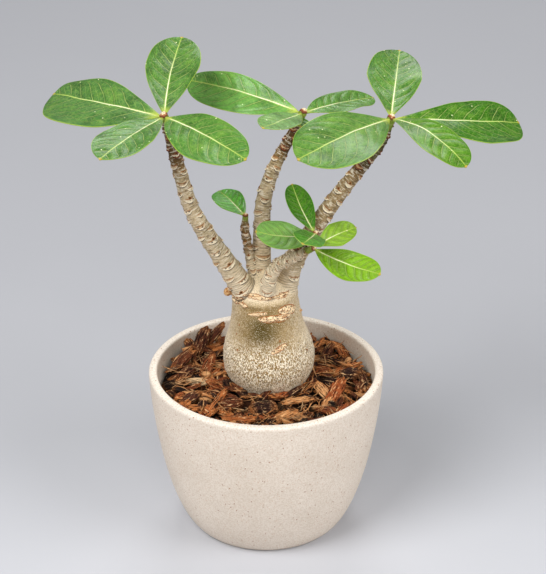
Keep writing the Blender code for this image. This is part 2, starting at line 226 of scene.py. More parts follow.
def buildStudio(d):
    scene = bpy.context.scene
    camera = bpy.data.cameras.new("camera")
    camera.lens = d["lens"]
    camera.sensor_width = 36
    camera.clip_end = 30
    eye = newObject("camera", camera)
    pitch = math.radians(d["pitch"])
    eye.location = Vector(d["aim"]) + Vector((0, -math.cos(pitch), math.sin(pitch))) * d["distance"]
    eye.rotation_euler = (math.radians(90) - pitch, 0, 0)
    scene.camera = eye
    scene.view_settings.view_transform = "Standard"
    for name, (place, size, power) in d["lamps"].items():
        areaLight(name + "Softbox", place, size, power, d["aim"])
    scene.world = bpy.data.worlds.new("studioAir")
    scene.world.use_nodes = True
    sky = scene.world.node_tree.nodes["Background"].inputs
    sky[0].default_value = toLinear(d["skyColour"])
    sky[1].default_value = d["skyStrength"]
    half = d["floorSize"] / 2
    corners = [(-half, -half, 0), (half, -half, 0), (half, half, 0), (-half, half, 0)]
    mesh = bpy.data.meshes.new("floor")
    mesh.from_pydata(corners, [], [(0, 1, 2, 3)])
    mesh.materials.append(paperMaterial(d))
    floor = newObject("floor", mesh)


buildStudio(studio)
print("studio done")


# pot

potShape = {
    "baseRadius": 41.6, "swell": (15.0, 0.155), "stand": (0.6, 0.75), "wall": 4.7, "floor": 7.0,
    "footBevel": 0.8, "sidePoints": 44, "lipPoints": 14, "steps": 180, "lipFlat": 0.45,
    "footCurve": [(0.5, 1.1), (0.1, 0.5), (-0.4, 0.12), (-1.2, 0)],       # out and up, in bevels
    "unevenness": (0.12, 38),           # how much and how far apart, in mm
    # painted highlight: the top of the rim is drawn paler, in the rim colour, between these depths, where the
    # lamps catch it
    "rimHighlightBand": (2.4, 0.4),              # mm below the top
    "clay": ("#DFD2C3", "#E9DDCF"), "sand": "#C9B59E", "rim": "#F4EBE0",
    # specks: mm apart, radius as a share of that, share of the places left empty, colour
    "specks": [(1.3, 0.2, 0.4, "#C0793A"), (3.1, 0.16, 0.4, "#96511C"), (1.2, 0.22, 0.5, "#F6EEE3")],
}
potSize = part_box("pot")
potRadius = (potSize[1][0] - potSize[0][0]) / 2
potHeight = potSize[1][2]


def potSide(d, count):
    foot = np.array([d["baseRadius"] * mm, 0])
    swell = foot + np.array([d["swell"][0] * mm, d["swell"][1] * potHeight])
    stand = np.array([potRadius - d["stand"][0] * mm, d["stand"][1] * potHeight])
    rim = np.array([potRadius, potHeight])
    t = np.linspace(0, 1, count)[:, None]
    rest = 1 - t
    return foot * rest ** 3 + 3 * swell * t * rest ** 2 + 3 * stand * t ** 2 * rest + rim * t ** 3


def innerRadius(height):
    side = potSide(potShape, 40)
    return np.interp(height, side[:, 1], side[:, 0]) - potShape["wall"] * mm


def stonewareMaterial(d):
    # stoneware, thrown, sponged and fired unglazed: a dry warm cream body, so matt, with iron and sand specks
    material, add = newMaterial("unglazedStoneware", 1.52, 0.62, 0.35)
    place = add("TexCoord", out=3)
    cloud = add("TexNoise", place, 0.045 / mm, 4, 0.55)
    grit = add("TexNoise", place, 1.1 / mm, 2, 0.55)
    # painted highlight along the top of the rim
    low, high = (potHeight - below * mm for below in d["rimHighlightBand"])
    colour = painted(add, add("ValToRGB", cloud, stops=[(0.3, d["clay"][0]), (0.7, d["clay"][1])]),
                     (d["rim"], add("SeparateXYZ", place, out=2), low, high, 0, 0.6),
                     (d["sand"], grit, 0.38, 0.66, 0, 0.5))
    for apart, size, empty, tint in d["specks"]:
        cell = add("TexVoronoi", place, 1 / (apart * mm))
        dice = add("SeparateColor", cell.node.outputs["Color"])
        chosen = add("Math", dice, empty, operation="GREATER_THAN")
        dot = add("MapRange", cell, size * 0.5, size, 0.8, 0, **soft)
        colour = painted(add, colour, (tint, add("Math", dot, chosen, **times)))
    swell = add("TexNoise", place, 0.25 / mm, 2, 0.55)
    relief = add("Math", swell, 0.8, add("TexNoise", place, 2.2 / mm, 3, 0.55), **timesPlus)
    return surfaced(material, colour, relief, 0.4, 0.12)


def buildPot(d):
    half = d["wall"] * mm / 2
    middle = (potRadius - half, potHeight - half)
    square = 1 - d["lipFlat"]              # squarer than a circle, as a sponged rim is
    lip = []
    for k in range(d["lipPoints"] + 1):
        angle = math.pi * (1 - k / d["lipPoints"])
        c, s = math.cos(angle), math.sin(angle)
        out, up = math.copysign(abs(c) ** square, c), abs(s) ** square
        lip.append((middle[0] + half * out, middle[1] + half * up))
    floorHeight = d["floor"] * mm
    inside = [(innerRadius(z), z) for z in np.linspace(floorHeight, middle[1], 26)[:-1]]
    low, high = d["footBevel"] * 2 * mm, middle[1] - half * 0.2
    outside = [tuple(p) for p in potSide(d, d["sidePoints"])[::-1] if low < p[1] < high]
    foot, bevel = d["baseRadius"] * mm, d["footBevel"] * mm
    corner = [(foot + out * bevel, up * bevel) for out, up in d["footCurve"]]
    inward = [(r, floorHeight) for r in (10 * mm, 30 * mm)]
    under = [(30 * mm, 0), (10 * mm, 0), (0, 0)]
    points, faces = lathe([(0, floorHeight), *inward, *inside, *lip, *outside, *corner, *under], d["steps"])
    rise, apart = d["unevenness"]
    for p in points:
        if p[2] > 2 * mm:
            swing = noise.noise(Vector(p) / (apart * mm)) * rise * mm
            p[:2] *= 1 + swing / max(math.hypot(p[0], p[1]), 10 * mm)
    pot = meshPiece("stonewarePot", points, faces, stonewareMaterial(d))
    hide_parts("pot")


buildPot(potShape)
print("pot done")


# soil

soilShape = {"wet": "#1A120D", "dry": "#3B2A1F", "crumb": 1.7}   # crumbs so many mm apart


def soilMaterial(d):
    # peat and grit, sieved and watered in: near black, matt, crumbly
    material, add = newMaterial("peatSoil", 1.45, 0.95, 0.2)
    crumbs = add("TexNoise", add("TexCoord", out=3), 1 / (d["crumb"] * mm), 5, 0.7)
    colour = add("ValToRGB", crumbs, stops=[(0.3, d["wet"]), (0.7, d["dry"])])
    return surfaced(material, colour, crumbs, 0.8, 0.8)


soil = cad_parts["potting_soil"]
soil.data.materials.clear()
soil.data.materials.append(soilMaterial(soilShape))
print("soil done")


# bark: the bed, the chips and the splinters on it

barkShape = {
    "seed": 11, "bedTop": 82.5, "bedSunk": 4.6, "heap": 6.0, "heapRadius": 22, "heapWidth": 17,
    "reach": 58.4, "trunk": (1.8, 4.5), "bank": 3.4, "bankWidth": 18,
    # banked up at the back left, and less at the back right: direction, where it starts, share of the height
    "banks": [(-0.62, 0.78, 30, 1.0), (0.8, 0.6, 22, 0.8)],
    "chips": 280, "chipGap": 7.8, "length": (7, 19), "width": (3.0, 8.0), "thickness": (1.6, 4.2), "tilt": 18,
    "shortened": 0.3, "lifts": (-2.2, -1.0, 0.3, 1.8), "tone": (0.4, 0.3, 0.76),       # mean, spread, most
    "collar": 30, "collarReach": (24, 27), "collarSize": [(8, 15), (3, 6), (1.5, 3.0)], "collarTilt": 14,
    "bedLump": (3.2, 1.3),                                  # how far apart and how much, in mm
    # torn fibres: single ones, and tufts of so many; distances apart and height over the bed in mm
    "strands": 120, "strandGap": 5, "tufts": 36, "tuftGap": 9, "tuftCount": (4, 8), "tuftSpread": 1.8,
    "strandLength": (5, 16), "strandWidth": (0.3, 0.75), "strandLift": (1.4, 4.2), "strandTilt": 14,
    "strandTone": (0.66, 0.86), "curl": 0.28, "hump": (-0.05, 0.2),
    "tones": [(0.0, "#2B1E1A"), (0.15, "#42251B"), (0.34, "#6E381F"), (0.52, "#A0522A"), (0.68, "#C47A42"),
              (0.8, "#DCA873"), (0.92, "#F2D8AC")],
    # gap is the near-black of the clefts and of the painted shade low between the chips; the last number is
    # the depth in mm below the heap over which that painted shade deepens
    "fibre": "#FFCF96", "gap": "#0E0704", "rot": "#331B12", "torn": "#C07A42", "shadeDepth": 1.9,
    # chips that stand out: x, y, turn, length, width, thickness, tone, tilt, lift
    "chosen": [
        (-1.5, -32, 10, 15, 11, 7.5, 0.1, 4, 3.2), (10, -38, 38, 17, 6.5, 3.5, 0.72, 8, 2.6),
        (-38, 0, -14, 15, 6, 3, 0.86, 4, 2.4), (-27, -26, 62, 22, 5, 3.5, 0.60, 16, 4.0),
        (17, -25, 4, 18, 5, 2.8, 0.74, 6, 2.8), (-19, -25, -4, 13, 9, 5, 0.28, 5, 2.4),
        (38, -14, 64, 20, 8, 3.5, 0.52, 22, 4.0), (47, 2, -30, 12, 9, 6, 0.10, 10, 3.6),
        (-45, 8, 60, 17, 8, 4, 0.25, 10, 2.5), (-33, 12, 68, 18, 7, 3, 0.42, 28, 3.4),
        (-14, -39, -14, 20, 5, 3, 0.58, 4, 1.4), (33, -30, -36, 14, 7, 3, 0.40, 8, 1.6),
        (-37, 34, 62, 17, 8, 4, 0.22, 42, 6.5), (-29, 39, 30, 15, 7, 3, 0.25, 42, 8.0),
        (-24, 33, 12, 18, 3.5, 2, 0.62, 14, 4.0), (-33, -14, -28, 13, 5, 2.5, 0.70, 6, 2.0),
        (26, 22, -40, 14, 6, 3, 0.30, 30, 5.0), (34, 20, 50, 15, 5, 3, 0.25, 36, 5.0),
        (-42, -18, 40, 16, 7, 3.5, 0.20, 10, 2.0), (24, -43, 20, 15, 6, 3, 0.30, 6, 1.6),
        (-47, 18, 40, 19, 9, 3, 0.30, 30, 4.0), (42, -32, 60, 13, 8, 4, 0.45, 12, 2.4),
    ],
}


def bedHeight(x, y):
    d = barkShape
    away = math.hypot(x / mm - d["trunk"][0], y / mm - d["trunk"][1])
    pile = d["heap"] * max(0, min(1, 1 - (away - d["heapRadius"]) / d["heapWidth"]))
    bank = max(share * min(1, ((toX * x + toY * y) / mm - start) / d["bankWidth"])
               for toX, toY, start, share in d["banks"])
    return (d["bedTop"] + pile + d["bank"] * max(bank, 0)) * mm


def barkMaterial(d):
    # pine bark, stripped, chipped and composted: corky plates that split along the grain, so red-brown and
    # matt with dark clefts, and paler where the fibres are freshly torn
    material, add = newMaterial("pineBark", 1.45, 0.85, 0.15)
    grain = add("Attribute", out=1, attribute_name="grain")
    tone, torn, sunk = (add("Attribute", out=2, attribute_name=name) for name in ("tone", "torn", "sunk"))
    lengthways = add("Mapping", grain, None, None, (0.13, 1, 1))
    fibres = add("TexNoise", lengthways, 1.15 / mm, 4, 0.7)     # fibres 0.3 mm apart would be lost, so 0.9 mm
    clefts = add("TexNoise", lengthways, 0.6 / mm, 3, 0.6)
    blotch = add("TexNoise", grain, 0.2 / mm, 3, 0.55)
    flakes = add("TexNoise", add("Mapping", grain, None, None, (0.5, 1, 1)), 0.9 / mm, 4, 0.6)
    base = add("ValToRGB", tone, stops=d["tones"])
    light = painted(add, base, (d["fibre"], 0.8))
    frayed = add("Math", torn, add("MapRange", fibres, 0.42, 0.56, 0.15, 0.85, **soft), **times)
    # painted shade: the bed and the chips' lower sides, below the heap, go towards near black
    colour = painted(add, base, (d["gap"], 0.92), (base, fibres, 0.41, 0.48, 0, 1),
                     (light, fibres, 0.58, 0.63, 0, 1), (d["rot"], blotch, 0.54, 0.7, 0, 0.6),
                     (light, flakes, 0.6, 0.72, 0, 0.55), (d["gap"], clefts, 0.42, 0.34, 0, 0.9),
                     (d["gap"], sunk), (d["torn"], frayed))
    relief = add("Math", flakes, 0.8, add("Math", clefts, fibres, **plus), **timesPlus)
    return surfaced(material, colour, relief, 1.0, 1.1)


def boxLattice(*counts):  # a closed box from -1 to 1, cut into small quads
    index, points, faces = {}, [], []

    def at(spot):
        if spot not in index:
            index[spot] = len(points)
            points.append([2 * s / n - 1 for s, n in zip(spot, counts)])
        return index[spot]

    for axis in range(3):
        b, c = (axis + 1) % 3, (axis + 2) % 3
        for end in (0, counts[axis]):
            for i in range(counts[b]):
                for j in range(counts[c]):
                    corners = []
                    for di, dj in ((0, 0), (1, 0), (1, 1), (0, 1)):
                        spot = [0, 0, 0]
                        spot[axis], spot[b], spot[c] = end, i + di, j + dj
                        corners.append(at(tuple(spot)))
                    faces.append(tuple(corners if end else corners[::-1]))
    return np.array(points), faces


def tornPlate(lattice, length, width, thickness, rng):
    # a plate of bark: narrower and raggedly torn at its ends, ridged along the grain
    shift = Vector([rng.uniform(-40, 40) for _ in range(3)])
    pointed, skew = rng.uniform(0.1, 0.5), rng.uniform(-0.2, 0.2)
    out = []
    for x, y, z in lattice:
        taper = (1 - pointed * abs(x) ** 2.5) * (1 - 0.12 * z * z)
        rag = noise.noise(Vector((y * 3.1, z * 1.2, math.copysign(9, x))) + shift) * 0.42 * abs(x) ** 3
        crown = (1 - 0.35 * y * y) * (1 - 0.45 * abs(x) ** 3)
        px = (x * (1 - 0.1 * y * y - 0.12 * z * z) + rag * math.copysign(1, x)) * length / 2
        py = (y * taper + skew * x * x * 0.5) * width / 2
        pz = z * crown * thickness / 2
        where = Vector((px * 0.09, py * 0.6, pz * 0.7)) + shift
        ridge = noise.noise(where * 1.4) * 0.55 + noise.noise(where * 3.1) * 0.4
        out.append((px, py + ridge * 0.8, pz + ridge * (0.9 if z > 0 else 0.5)))
    return np.array(out)


def placed(points, spot, turn, tilt, roll):
    turning = Matrix.Rotation(turn, 3, "Z") @ Matrix.Rotation(tilt, 3, "Y") @ Matrix.Rotation(roll, 3, "X")
    return (points * mm) @ np.array(turning).T + np.array(spot)


def keptClear(points):  # pushes points off the wall and off the plant
    trunk = np.array(barkShape["trunk"]) * mm
    offset = points[:, :2] - trunk
    heights, radii = np.array(caudexProfile).T
    body = (np.interp(points[:, 2] / mm, heights, radii) + 0.3) * mm
    near = np.maximum(1, body / np.maximum(np.linalg.norm(offset, axis=1), 1e-6))
    points[:, :2] = trunk + offset * near[:, None]
    wall = innerRadius(np.clip(points[:, 2], 0, potHeight)) - 0.4 * mm
    points[:, :2] *= np.minimum(1, wall / np.linalg.norm(points[:, :2], axis=1))[:, None]
    return points


def scatterPlaces(count, rng, inner, outer, spacing):
    places = []
    while len(places) < count:
        spacing *= 0.9985
        radius = math.sqrt(rng.uniform(inner ** 2, outer ** 2))
        angle = rng.uniform(0, 2 * math.pi)
        spot = (radius * math.cos(angle), radius * math.sin(angle))
        if all(math.hypot(spot[0] - p[0], spot[1] - p[1]) > spacing for p in places):
            places.append(spot)
    rng.shuffle(places)
    return places


def buildBed(d, material):
    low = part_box("bark_mulch")[0][2] + 0.2 * mm
    top = [(r * mm, 82 * mm) for r in np.linspace(16, d["reach"], 34)]
    profile = [(0, low), (30 * mm, low), (d["reach"] * mm, low), *top[::-1], (0, 80 * mm)]
    points, faces = lathe(profile, 150)
    apart, rise = d["bedLump"]
    for p in points:
        if p[2] > 79 * mm:
            rough = noise.fractal(Vector(p) / (apart * mm), 1.0, 2.0, 3)
            p[2] = bedHeight(p[0], p[1]) + (rough * rise - d["bedSunk"]) * mm
    bed = meshPiece("barkBed", keptClear(points), [f[::-1] for f in faces], material)
    # the bed in the darkest tone and most of the way to near black: painted shade under the chips
    giveValues(bed.data, grain=points, tone=0.0, torn=0.0, sunk=0.7)
    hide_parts("bark_mulch")


def buildChips(d, rng, material):
    plates = []
    mean, spread, most = d["tone"]
    for x, y in scatterPlaces(d["chips"], rng, 21 * mm, (d["reach"] - 3.5) * mm, d["chipGap"] * mm):
        size = [rng.uniform(*d[k]) for k in ("length", "width", "thickness")]
        size[0] *= 0.6 if rng.random() < d["shortened"] else 1
        tilt = [math.radians(rng.gauss(0, d["tilt"])) for _ in range(2)]
        tone = min(most, max(0.0, rng.gauss(mean, spread)))
        plates.append((x, y, rng.uniform(0, math.pi), size, tone, tilt, rng.choice(d["lifts"])))
    for number in range(d["collar"]):                 # tucked in round the plant
        angle = 2 * math.pi * (number + rng.uniform(-0.3, 0.3)) / d["collar"]
        wise = (math.cos(angle), math.sin(angle))
        x, y = (trunk + rng.uniform(*d["collarReach"]) * out for trunk, out in zip(d["trunk"], wise))
        size = [rng.uniform(*span) for span in d["collarSize"]]
        tilt = [math.radians(rng.gauss(0, d["collarTilt"])) for _ in range(2)]
        turn = angle + math.pi / 2 + rng.gauss(0, 0.5)
        plates.append((x * mm, y * mm, turn, size, rng.uniform(0.1, 0.7), tilt, rng.uniform(-1.5, 0.5)))
    for x, y, turn, *size, tone, tilt, lift in d["chosen"]:
        tilt = [-math.radians(tilt), math.radians(rng.uniform(-8, 8))]
        plates.append((x * mm, y * mm, math.radians(turn), size, tone, tilt, lift))
    lattice, faces = boxLattice(12, 5, 2)
    torn = np.clip((np.abs(lattice[:, 0]) - 0.55) / 0.45, 0, 1)
    parts, grain, tones, ends = [], [], [], []
    for x, y, turn, size, tone, tilt, lift in plates:
        plate = tornPlate(lattice, *size, rng)
        parts.append((placed(plate, (x, y, bedHeight(x, y) + lift * mm), turn, *tilt), faces))
        grain.append((plate + np.array([rng.uniform(0, 400), rng.uniform(0, 400), 0])) * mm)
        tones += [tone] * len(plate)
        ends.append(torn * rng.uniform(0.2, 1.0))
    points, faces = joined(parts)
    points = keptClear(points)
    chips = meshPiece("barkChips", points, faces, material, flat=True)
    # how far each point lies below the heap, for the painted shade
    deep = np.array([bedHeight(x, y) for x, y, _ in points]) + 0.9 * mm - points[:, 2]
    giveValues(chips.data, grain=np.concatenate(grain), tone=tones, torn=np.concatenate(ends),
               sunk=np.clip(deep / (d["shadeDepth"] * mm), 0, 0.9))


def buildStrands(d, rng, material):
    spots = [(x, y, rng.uniform(0, 2 * math.pi)) for x, y in
             scatterPlaces(d["strands"], rng, 22 * mm, (d["reach"] - 2) * mm, d["strandGap"] * mm)]
    spread = d["tuftSpread"]
    for x, y in scatterPlaces(d["tufts"], rng, 25 * mm, (d["reach"] - 5) * mm, d["tuftGap"] * mm):
        turn = rng.uniform(0, 2 * math.pi)
        for _ in range(rng.randint(*d["tuftCount"])):
            beside = [k + rng.gauss(0, spread) * mm for k in (x, y)]
            spots.append((*beside, turn + rng.gauss(0, 0.45)))
    lattice, faces = boxLattice(8, 1, 1)
    parts, grain, tones = [], [], []
    for x, y, turn in spots:
        length, width = rng.uniform(*d["strandLength"]), rng.uniform(*d["strandWidth"])
        curl, hump = rng.gauss(0, d["curl"]), rng.uniform(*d["hump"])
        px, py, pz = lattice.T
        thin = (1.05 - np.abs(px)) * width / 2
        strip = np.stack([px * length / 2, py * thin + curl * px * px * length / 2,
                          pz * thin * 0.7 + hump * (1 - px * px) * length / 2], 1)
        spot = (x, y, bedHeight(x, y) + rng.uniform(*d["strandLift"]) * mm)
        parts.append((placed(strip, spot, turn, math.radians(rng.gauss(0, d["strandTilt"])), 0), faces))
        grain.append((strip + np.array([rng.uniform(0, 400), 0, 0])) * mm)
        tones += [rng.uniform(*d["strandTone"])] * len(strip)
    points, faces = joined(parts)
    strands = meshPiece("barkStrands", keptClear(points), faces, material)
    giveValues(strands.data, grain=np.concatenate(grain), tone=tones, torn=0.5, sunk=0.0)


# height and radius of the plant's swollen base, in mm
caudexProfile = [(44, 3), (52, 10), (64, 15), (76, 18.6), (86, 21.6), (93, 24.4), (99, 25.4), (105, 24.9),
                 (111, 23.3), (117, 21.1), (124, 19.6), (131, 18.5), (136.5, 17.9), (138.5, 18.2),
                 (140.5, 17.4), (144.5, 15), (148, 10.5), (150, 4)]
barkStuff = barkMaterial(barkShape)
barkDice = random.Random(barkShape["seed"])
buildBed(barkShape, barkStuff)
buildChips(barkShape, barkDice, barkStuff)
buildStrands(barkShape, barkDice, barkStuff)
print("bark done")


# the plant: swollen base and branches grown as one, with the leaf scars raised on it

caudexShape = {
    "axis": (1.8, 4.5, 93.0), "lean": -3.0, "steps": 120, "lumps": 0.35,
    "voxel": 0.6,          # mm between points once all is grown together
    "fillet": 1.7, "filletSteps": 14,
    # x, y, z, radius, and whether it is corked over
    "knobs": [(-20.8, 2.2, 140.2, 2.4, True), (2.4, -12.4, 160.5, 2.4, False), (1.5, -8.0, 147.0, 1.4, True),
              (19.1, 0.7, 129.5, 0.8, True)],
    # corky marks: angle about the axis, height, half length (degrees), half height, slope (mm a degree), rise
    "marks": [
        (-47, 134.2, 20, 2.5, -0.06, 0.55), (-72, 131.3, 30, 1.7, -0.012, 0.55),
        (-104, 134.5, 17, 0.75, 0.03, 0.4), (-72.5, 114.4, 13, 1.1, 0.125, 0.35),
        (-97, 143.7, 36, 0.95, -0.012, 0.55), (-52, 143.0, 17, 0.9, 0.0, 0.4),
        (-149, 139.9, 19, 2.0, 0.07, 0.5), (-130, 138.6, 8, 0.9, 0.0, 0.4),
        (84, 128, 24, 1.4, 0.03, 0.4), (140, 116, 14, 1.1, -0.08, 0.3),
    ],
    "hollow": (-60, 133.6, 5, 1.0),                             # between the two big ones
    "dots": [(-140, 125.9), (-144, 120.2), (-136, 112.2), (-70, 118.6), (-28, 108)],
    "olive": (-96, 124.5, 32, 8.5), "frostTop": 117.5,
    "skinDeep": "#A0834F", "skinPale": "#C2A677", "bloom": "#FFF3DC", "bruise": "#54450F", "pore": "#5A3C18",
    "skinLight": "#F8E4C2", "between": "#8E6C34", "fleckGap": 0.85, "poreGap": 1.5,
    "cork": "#FFE2B6", "corkPit": "#3E1E0B", "corkEdge": "#A5622C", "dot": "#9C6434", "holeGap": 0.95,
    # the last colour is the painted shade in the fold under the left stem
    "knob": "#A96A34", "knobPale": "#E6BE88", "crease": "#24160C",
    # strength of each coat where its value is 1
    "strength": {"ringed": 0.72, "olive": 1.0, "paleAndLit": 0.75, "frost": 0.42, "green": 0.85, "crease": 0.8},
}
stemShape = {
    # oldest wood to youngest
    "wood": [(0.0, "#D8C3A0"), (0.3, "#AF9771"), (0.55, "#82643A"), (0.78, "#553B1B"), (1.0, "#463D15")],
    "wrinkle": "#4C3720", "bloom": "#F1E7D3", "shade": "#756A45", "tip": "#7F9430",
    "lip": "#FFF0D2", "rim": "#9B6230", "youngRim": "#7A3A1E", "face": "#C99A66", "base": "#F5E3C4",
    "pit": "#2E180A", "seed": 5, "ringGap": 1.25, "firstScar": (5.0, 3.0),      # on a long stem, on a short
    "scarHeight": 0.8, "scarCurve": 1.0, "scarWidth": (0.6, 0.92),   # width as a share of the stem's
    # painted shadow below the scar's lip, then its lip, face and rim: from, to, softness, strength
    "scarZones": [(-2.4, -1.6, 0.4, 0.9), (-1.65, -0.6, 0.2, 1.0), (-0.7, 0.8, 0.3, 0.65),
                  (0.7, 1.5, 0.25, 0.85)],
}
stems = {
    # points are x, y, z, radius; gaps are the first and last between leaf scars; dark is the length of the
    # young wood, and green that of the end
    "left": {"gaps": (2.4, 1.9), "dark": 33, "green": 2.5, "tone": 0.0, "points": [
        (-9, -1, 139, 7), (-13.6, -2, 147, 6.5), (-22, -5, 162.5, 5.5), (-31.6, -8, 180, 4.7),
        (-39.5, -10, 197, 4.1), (-44.8, -11.5, 218, 3.6), (-49, -12, 236, 2.8), (-52, -12, 248.5, 2.1)]},
    "middle": {"gaps": (2.6, 2.2), "dark": 30, "green": 1.5, "tone": 0.02, "points": [
        (-2, 7, 136, 7), (-2.8, 9, 149, 5.8), (-2.4, 12, 164, 5), (-2.1, 14, 175, 4.5),
        (-1.2, 16.5, 188.5, 4.2), (2.6, 19, 202, 3.7), (8, 21.5, 213.5, 3.2), (14, 24, 224, 2.8),
        (19.5, 26, 235, 2.1)]},
    "right": {"gaps": (2.7, 1.9), "dark": 36, "green": 5.0, "tone": 0.26, "points": [
        (9, 3, 137, 7), (11.3, 2, 146, 6.3), (14.4, 2, 157.5, 5.6), (20.9, 2, 170.3, 5.1),
        (27.4, 2, 181, 4.7), (38, 3, 197, 4.2), (46.8, 4, 208.8, 3.7), (53.5, 5, 217.5, 3.4),
        (61, 6, 227.5, 2.8), (65.5, 6, 240, 2.1)]},
    "twig": {"gaps": (1.9, 1.5), "dark": 26, "green": 1.6, "tone": -0.12, "points": [
        (-6, 6, 140, 3.2), (-7.2, 5, 149, 2.6), (-8.5, 5.5, 157, 2.3), (-10, 6.5, 167, 2.3),
        (-11.3, 7, 176, 2.2), (-11, 8, 182.5, 1.5)]},
    "front_arm": {"gaps": (2.4, 1.8), "dark": 7, "green": 4.5, "tone": -0.2, "points": [
        (1, -6, 139, 4.6), (1.2, -9, 147, 4.3), (2, -11.5, 155.5, 3.9), (5, -13.5, 162, 3.1),
        (10.5, -18, 168.5, 2.6), (17, -24, 175.5, 2.3), (24.5, -30, 182.5, 1.6)]},
    "rear_arm": {"gaps": (2.0, 1.6), "dark": 18, "green": 4.5, "tone": 0.22, "points": [
        (1.5, -8, 152, 3), (3, -7, 158, 2.6), (7, -8, 163.5, 2.3), (13.5, -12, 170, 2.2), (20, -16, 177, 2.1),
        (24, -18, 181.5, 2), (26, -20, 186, 1.5)]},
}
tipRadius = {"left": 2.4, "middle": 2.4, "right": 2.4, "twig": 1.7, "front_arm": 1.8, "rear_arm": 1.8}
divergence = math.radians(137.5)      # from each leaf scar to the next, about the stem


def stemLine(stem):  # the centre line, with its radius, distance travelled and two directions across
    line = smoothPoints(stem["points"], 14)
    middle, radius = line[:, :3], line[:, 3]
    travelled = np.concatenate([[0], np.cumsum(np.linalg.norm(np.diff(middle, axis=0), axis=1))])
    tangent = np.gradient(middle, travelled, axis=0)
    tangent /= np.linalg.norm(tangent, axis=1)[:, None]
    forward = np.array([0, -1, 0])
    front = forward - tangent * (tangent @ forward)[:, None]
    front /= np.linalg.norm(front, axis=1)[:, None]
    return {"middle": middle, "radius": radius, "travelled": travelled, "tangent": tangent, "front": front,
            "side": np.cross(tangent, front), "length": travelled[-1]}


def scarsOf(stem, line, rng):  # distance, angle, half width (mm), seed
    scars = []
    onLong, onShort = stemShape["firstScar"]
    distance = onLong if line["length"] > 60 else onShort
    angle = rng.uniform(0, 2 * math.pi)
    first, last = stem["gaps"]
    while distance < line["length"] - 2.0:
        radius = np.interp(distance, line["travelled"], line["radius"])
        scars.append((distance + rng.uniform(-0.35, 0.35), angle + rng.uniform(-0.15, 0.15),
                      radius * rng.uniform(*stemShape["scarWidth"]), rng.random()))
        distance += first + (last - first) * distance / line["length"]
        angle += divergence
    return np.array(scars)


def tube(line, steps):
    around = np.linspace(0, 2 * math.pi, steps, endpoint=False)
    cos, sin = (turned(around)[None, :, None] for turned in (np.cos, np.sin))
    across = cos * line["front"][:, None] + sin * line["side"][:, None]
    rows = line["middle"][:, None] + line["radius"][:, None, None] * across
    faces, last = sideFaces(len(rows), steps), (len(rows) - 1) * steps
    faces += [tuple(range(steps))[::-1], tuple(last + s for s in range(steps))]
    return rows.reshape(-1, 3), faces


def ball(x, y, z, radius):
    profile = [(radius * math.sin(math.pi * k / 12), radius * math.cos(math.pi * k / 12)) for k in range(13)]
    points, faces = lathe(profile, 20)
    return points + np.array([x, y, z]), faces


def caudexSpace(points, back=False):  # mm in the frame to mm about the caudex's own leaning axis, or back
    axis = np.array(caudexShape["axis"])
    height = np.array([0, 0, axis[2]])
    lean = np.array(Matrix.Rotation(math.radians(caudexShape["lean"]), 3, "Y"))
    return (points - height) @ lean.T + axis if back else (points - axis) @ lean + height


def grownTogether(lines):
    d = caudexShape
    profile = smoothPoints([(r, z) for z, r in caudexProfile[::-1]], 6)
    points, faces = lathe([(0, profile[0][1]), *profile, (0, profile[-1][1])], d["steps"])
    parts = [(caudexSpace(points, back=True), faces)]
    parts += [tube(line, 40) for line in lines.values()]
    parts += [ball(*stems[stem]["points"][-1][:3], tipRadius[stem]) for stem in stems]
    parts += [ball(*place) for *place, _ in d["knobs"]]
    points, faces = joined(parts)
    mesh = bpy.data.meshes.new("rough")
    mesh.from_pydata((points * mm).tolist(), [], faces)
    rough = newObject("rough", mesh)
    remesh = rough.modifiers.new("growTogether", "REMESH")
    remesh.mode = "VOXEL"
    remesh.voxel_size = d["voxel"] * mm
    grown = bpy.data.meshes.new_from_object(rough.evaluated_get(bpy.context.evaluated_depsgraph_get()))
    bpy.data.objects.remove(rough)
    bpy.data.meshes.remove(mesh)
    return grown


def meshNumbers(items, field, width=1, kind=float):
    out = np.empty(len(items) * width, kind)
    items.foreach_get(field, out)
    return out.reshape(-1, width) if width > 1 else out


def nearestOn(line, points):  # for each point: depth outside the stem, distance along, two offsets, radius
    out = np.empty((len(points), 5))
    middle = line["middle"]
    for start in range(0, len(points), 20000):
        chunk = points[start:start + 20000]
        square = (chunk ** 2).sum(1)[:, None] + (middle ** 2).sum(1)[None] - 2 * chunk @ middle.T
        index = square.argmin(1)
        offset = chunk - middle[index]
        along = line["travelled"][index] + (offset * line["tangent"][index]).sum(1)
        radius = np.interp(along, line["travelled"], line["radius"])
        x = (offset * line["front"][index]).sum(1)
        y = (offset * line["side"][index]).sum(1)
        past = np.maximum(0, np.abs(along - line["length"] / 2) - line["length"] / 2)
        depth = np.hypot(np.hypot(x, y), past) - radius
        out[start:start + 20000] = np.stack([depth, along, x, y, radius], 1)
    return out


def surveyed(points, lines):  # each point against each stem and the caudex: places, and depths side by side
    local = {name: nearestOn(line, points) for name, line in lines.items()}
    own = caudexSpace(points)
    heights, radii = np.array(caudexProfile).T
    outside = (np.hypot(own[:, 0], own[:, 1]) - np.interp(own[:, 2], heights, radii)) * 0.9
    outside += np.maximum(own[:, 2] - heights[-1], 0)
    return local, own, np.stack([outside, *[local[name][:, 0] for name in stems]], 1)


def smoothed(points, edges, weight, steps):
    count = np.bincount(edges.ravel(), minlength=len(points))[:, None]
    for _ in range(steps):
        total = np.zeros_like(points)
        for axis in range(points.shape[1]):
            total[:, axis] = (np.bincount(edges[:, 0], points[edges[:, 1], axis], len(points))
                              + np.bincount(edges[:, 1], points[edges[:, 0], axis], len(points)))
        points = points + (total / count - points) * weight[:, None] * 0.6
    return points


def wrapped(angle, turn=2 * math.pi):
    return (angle + turn / 2) % turn - turn / 2


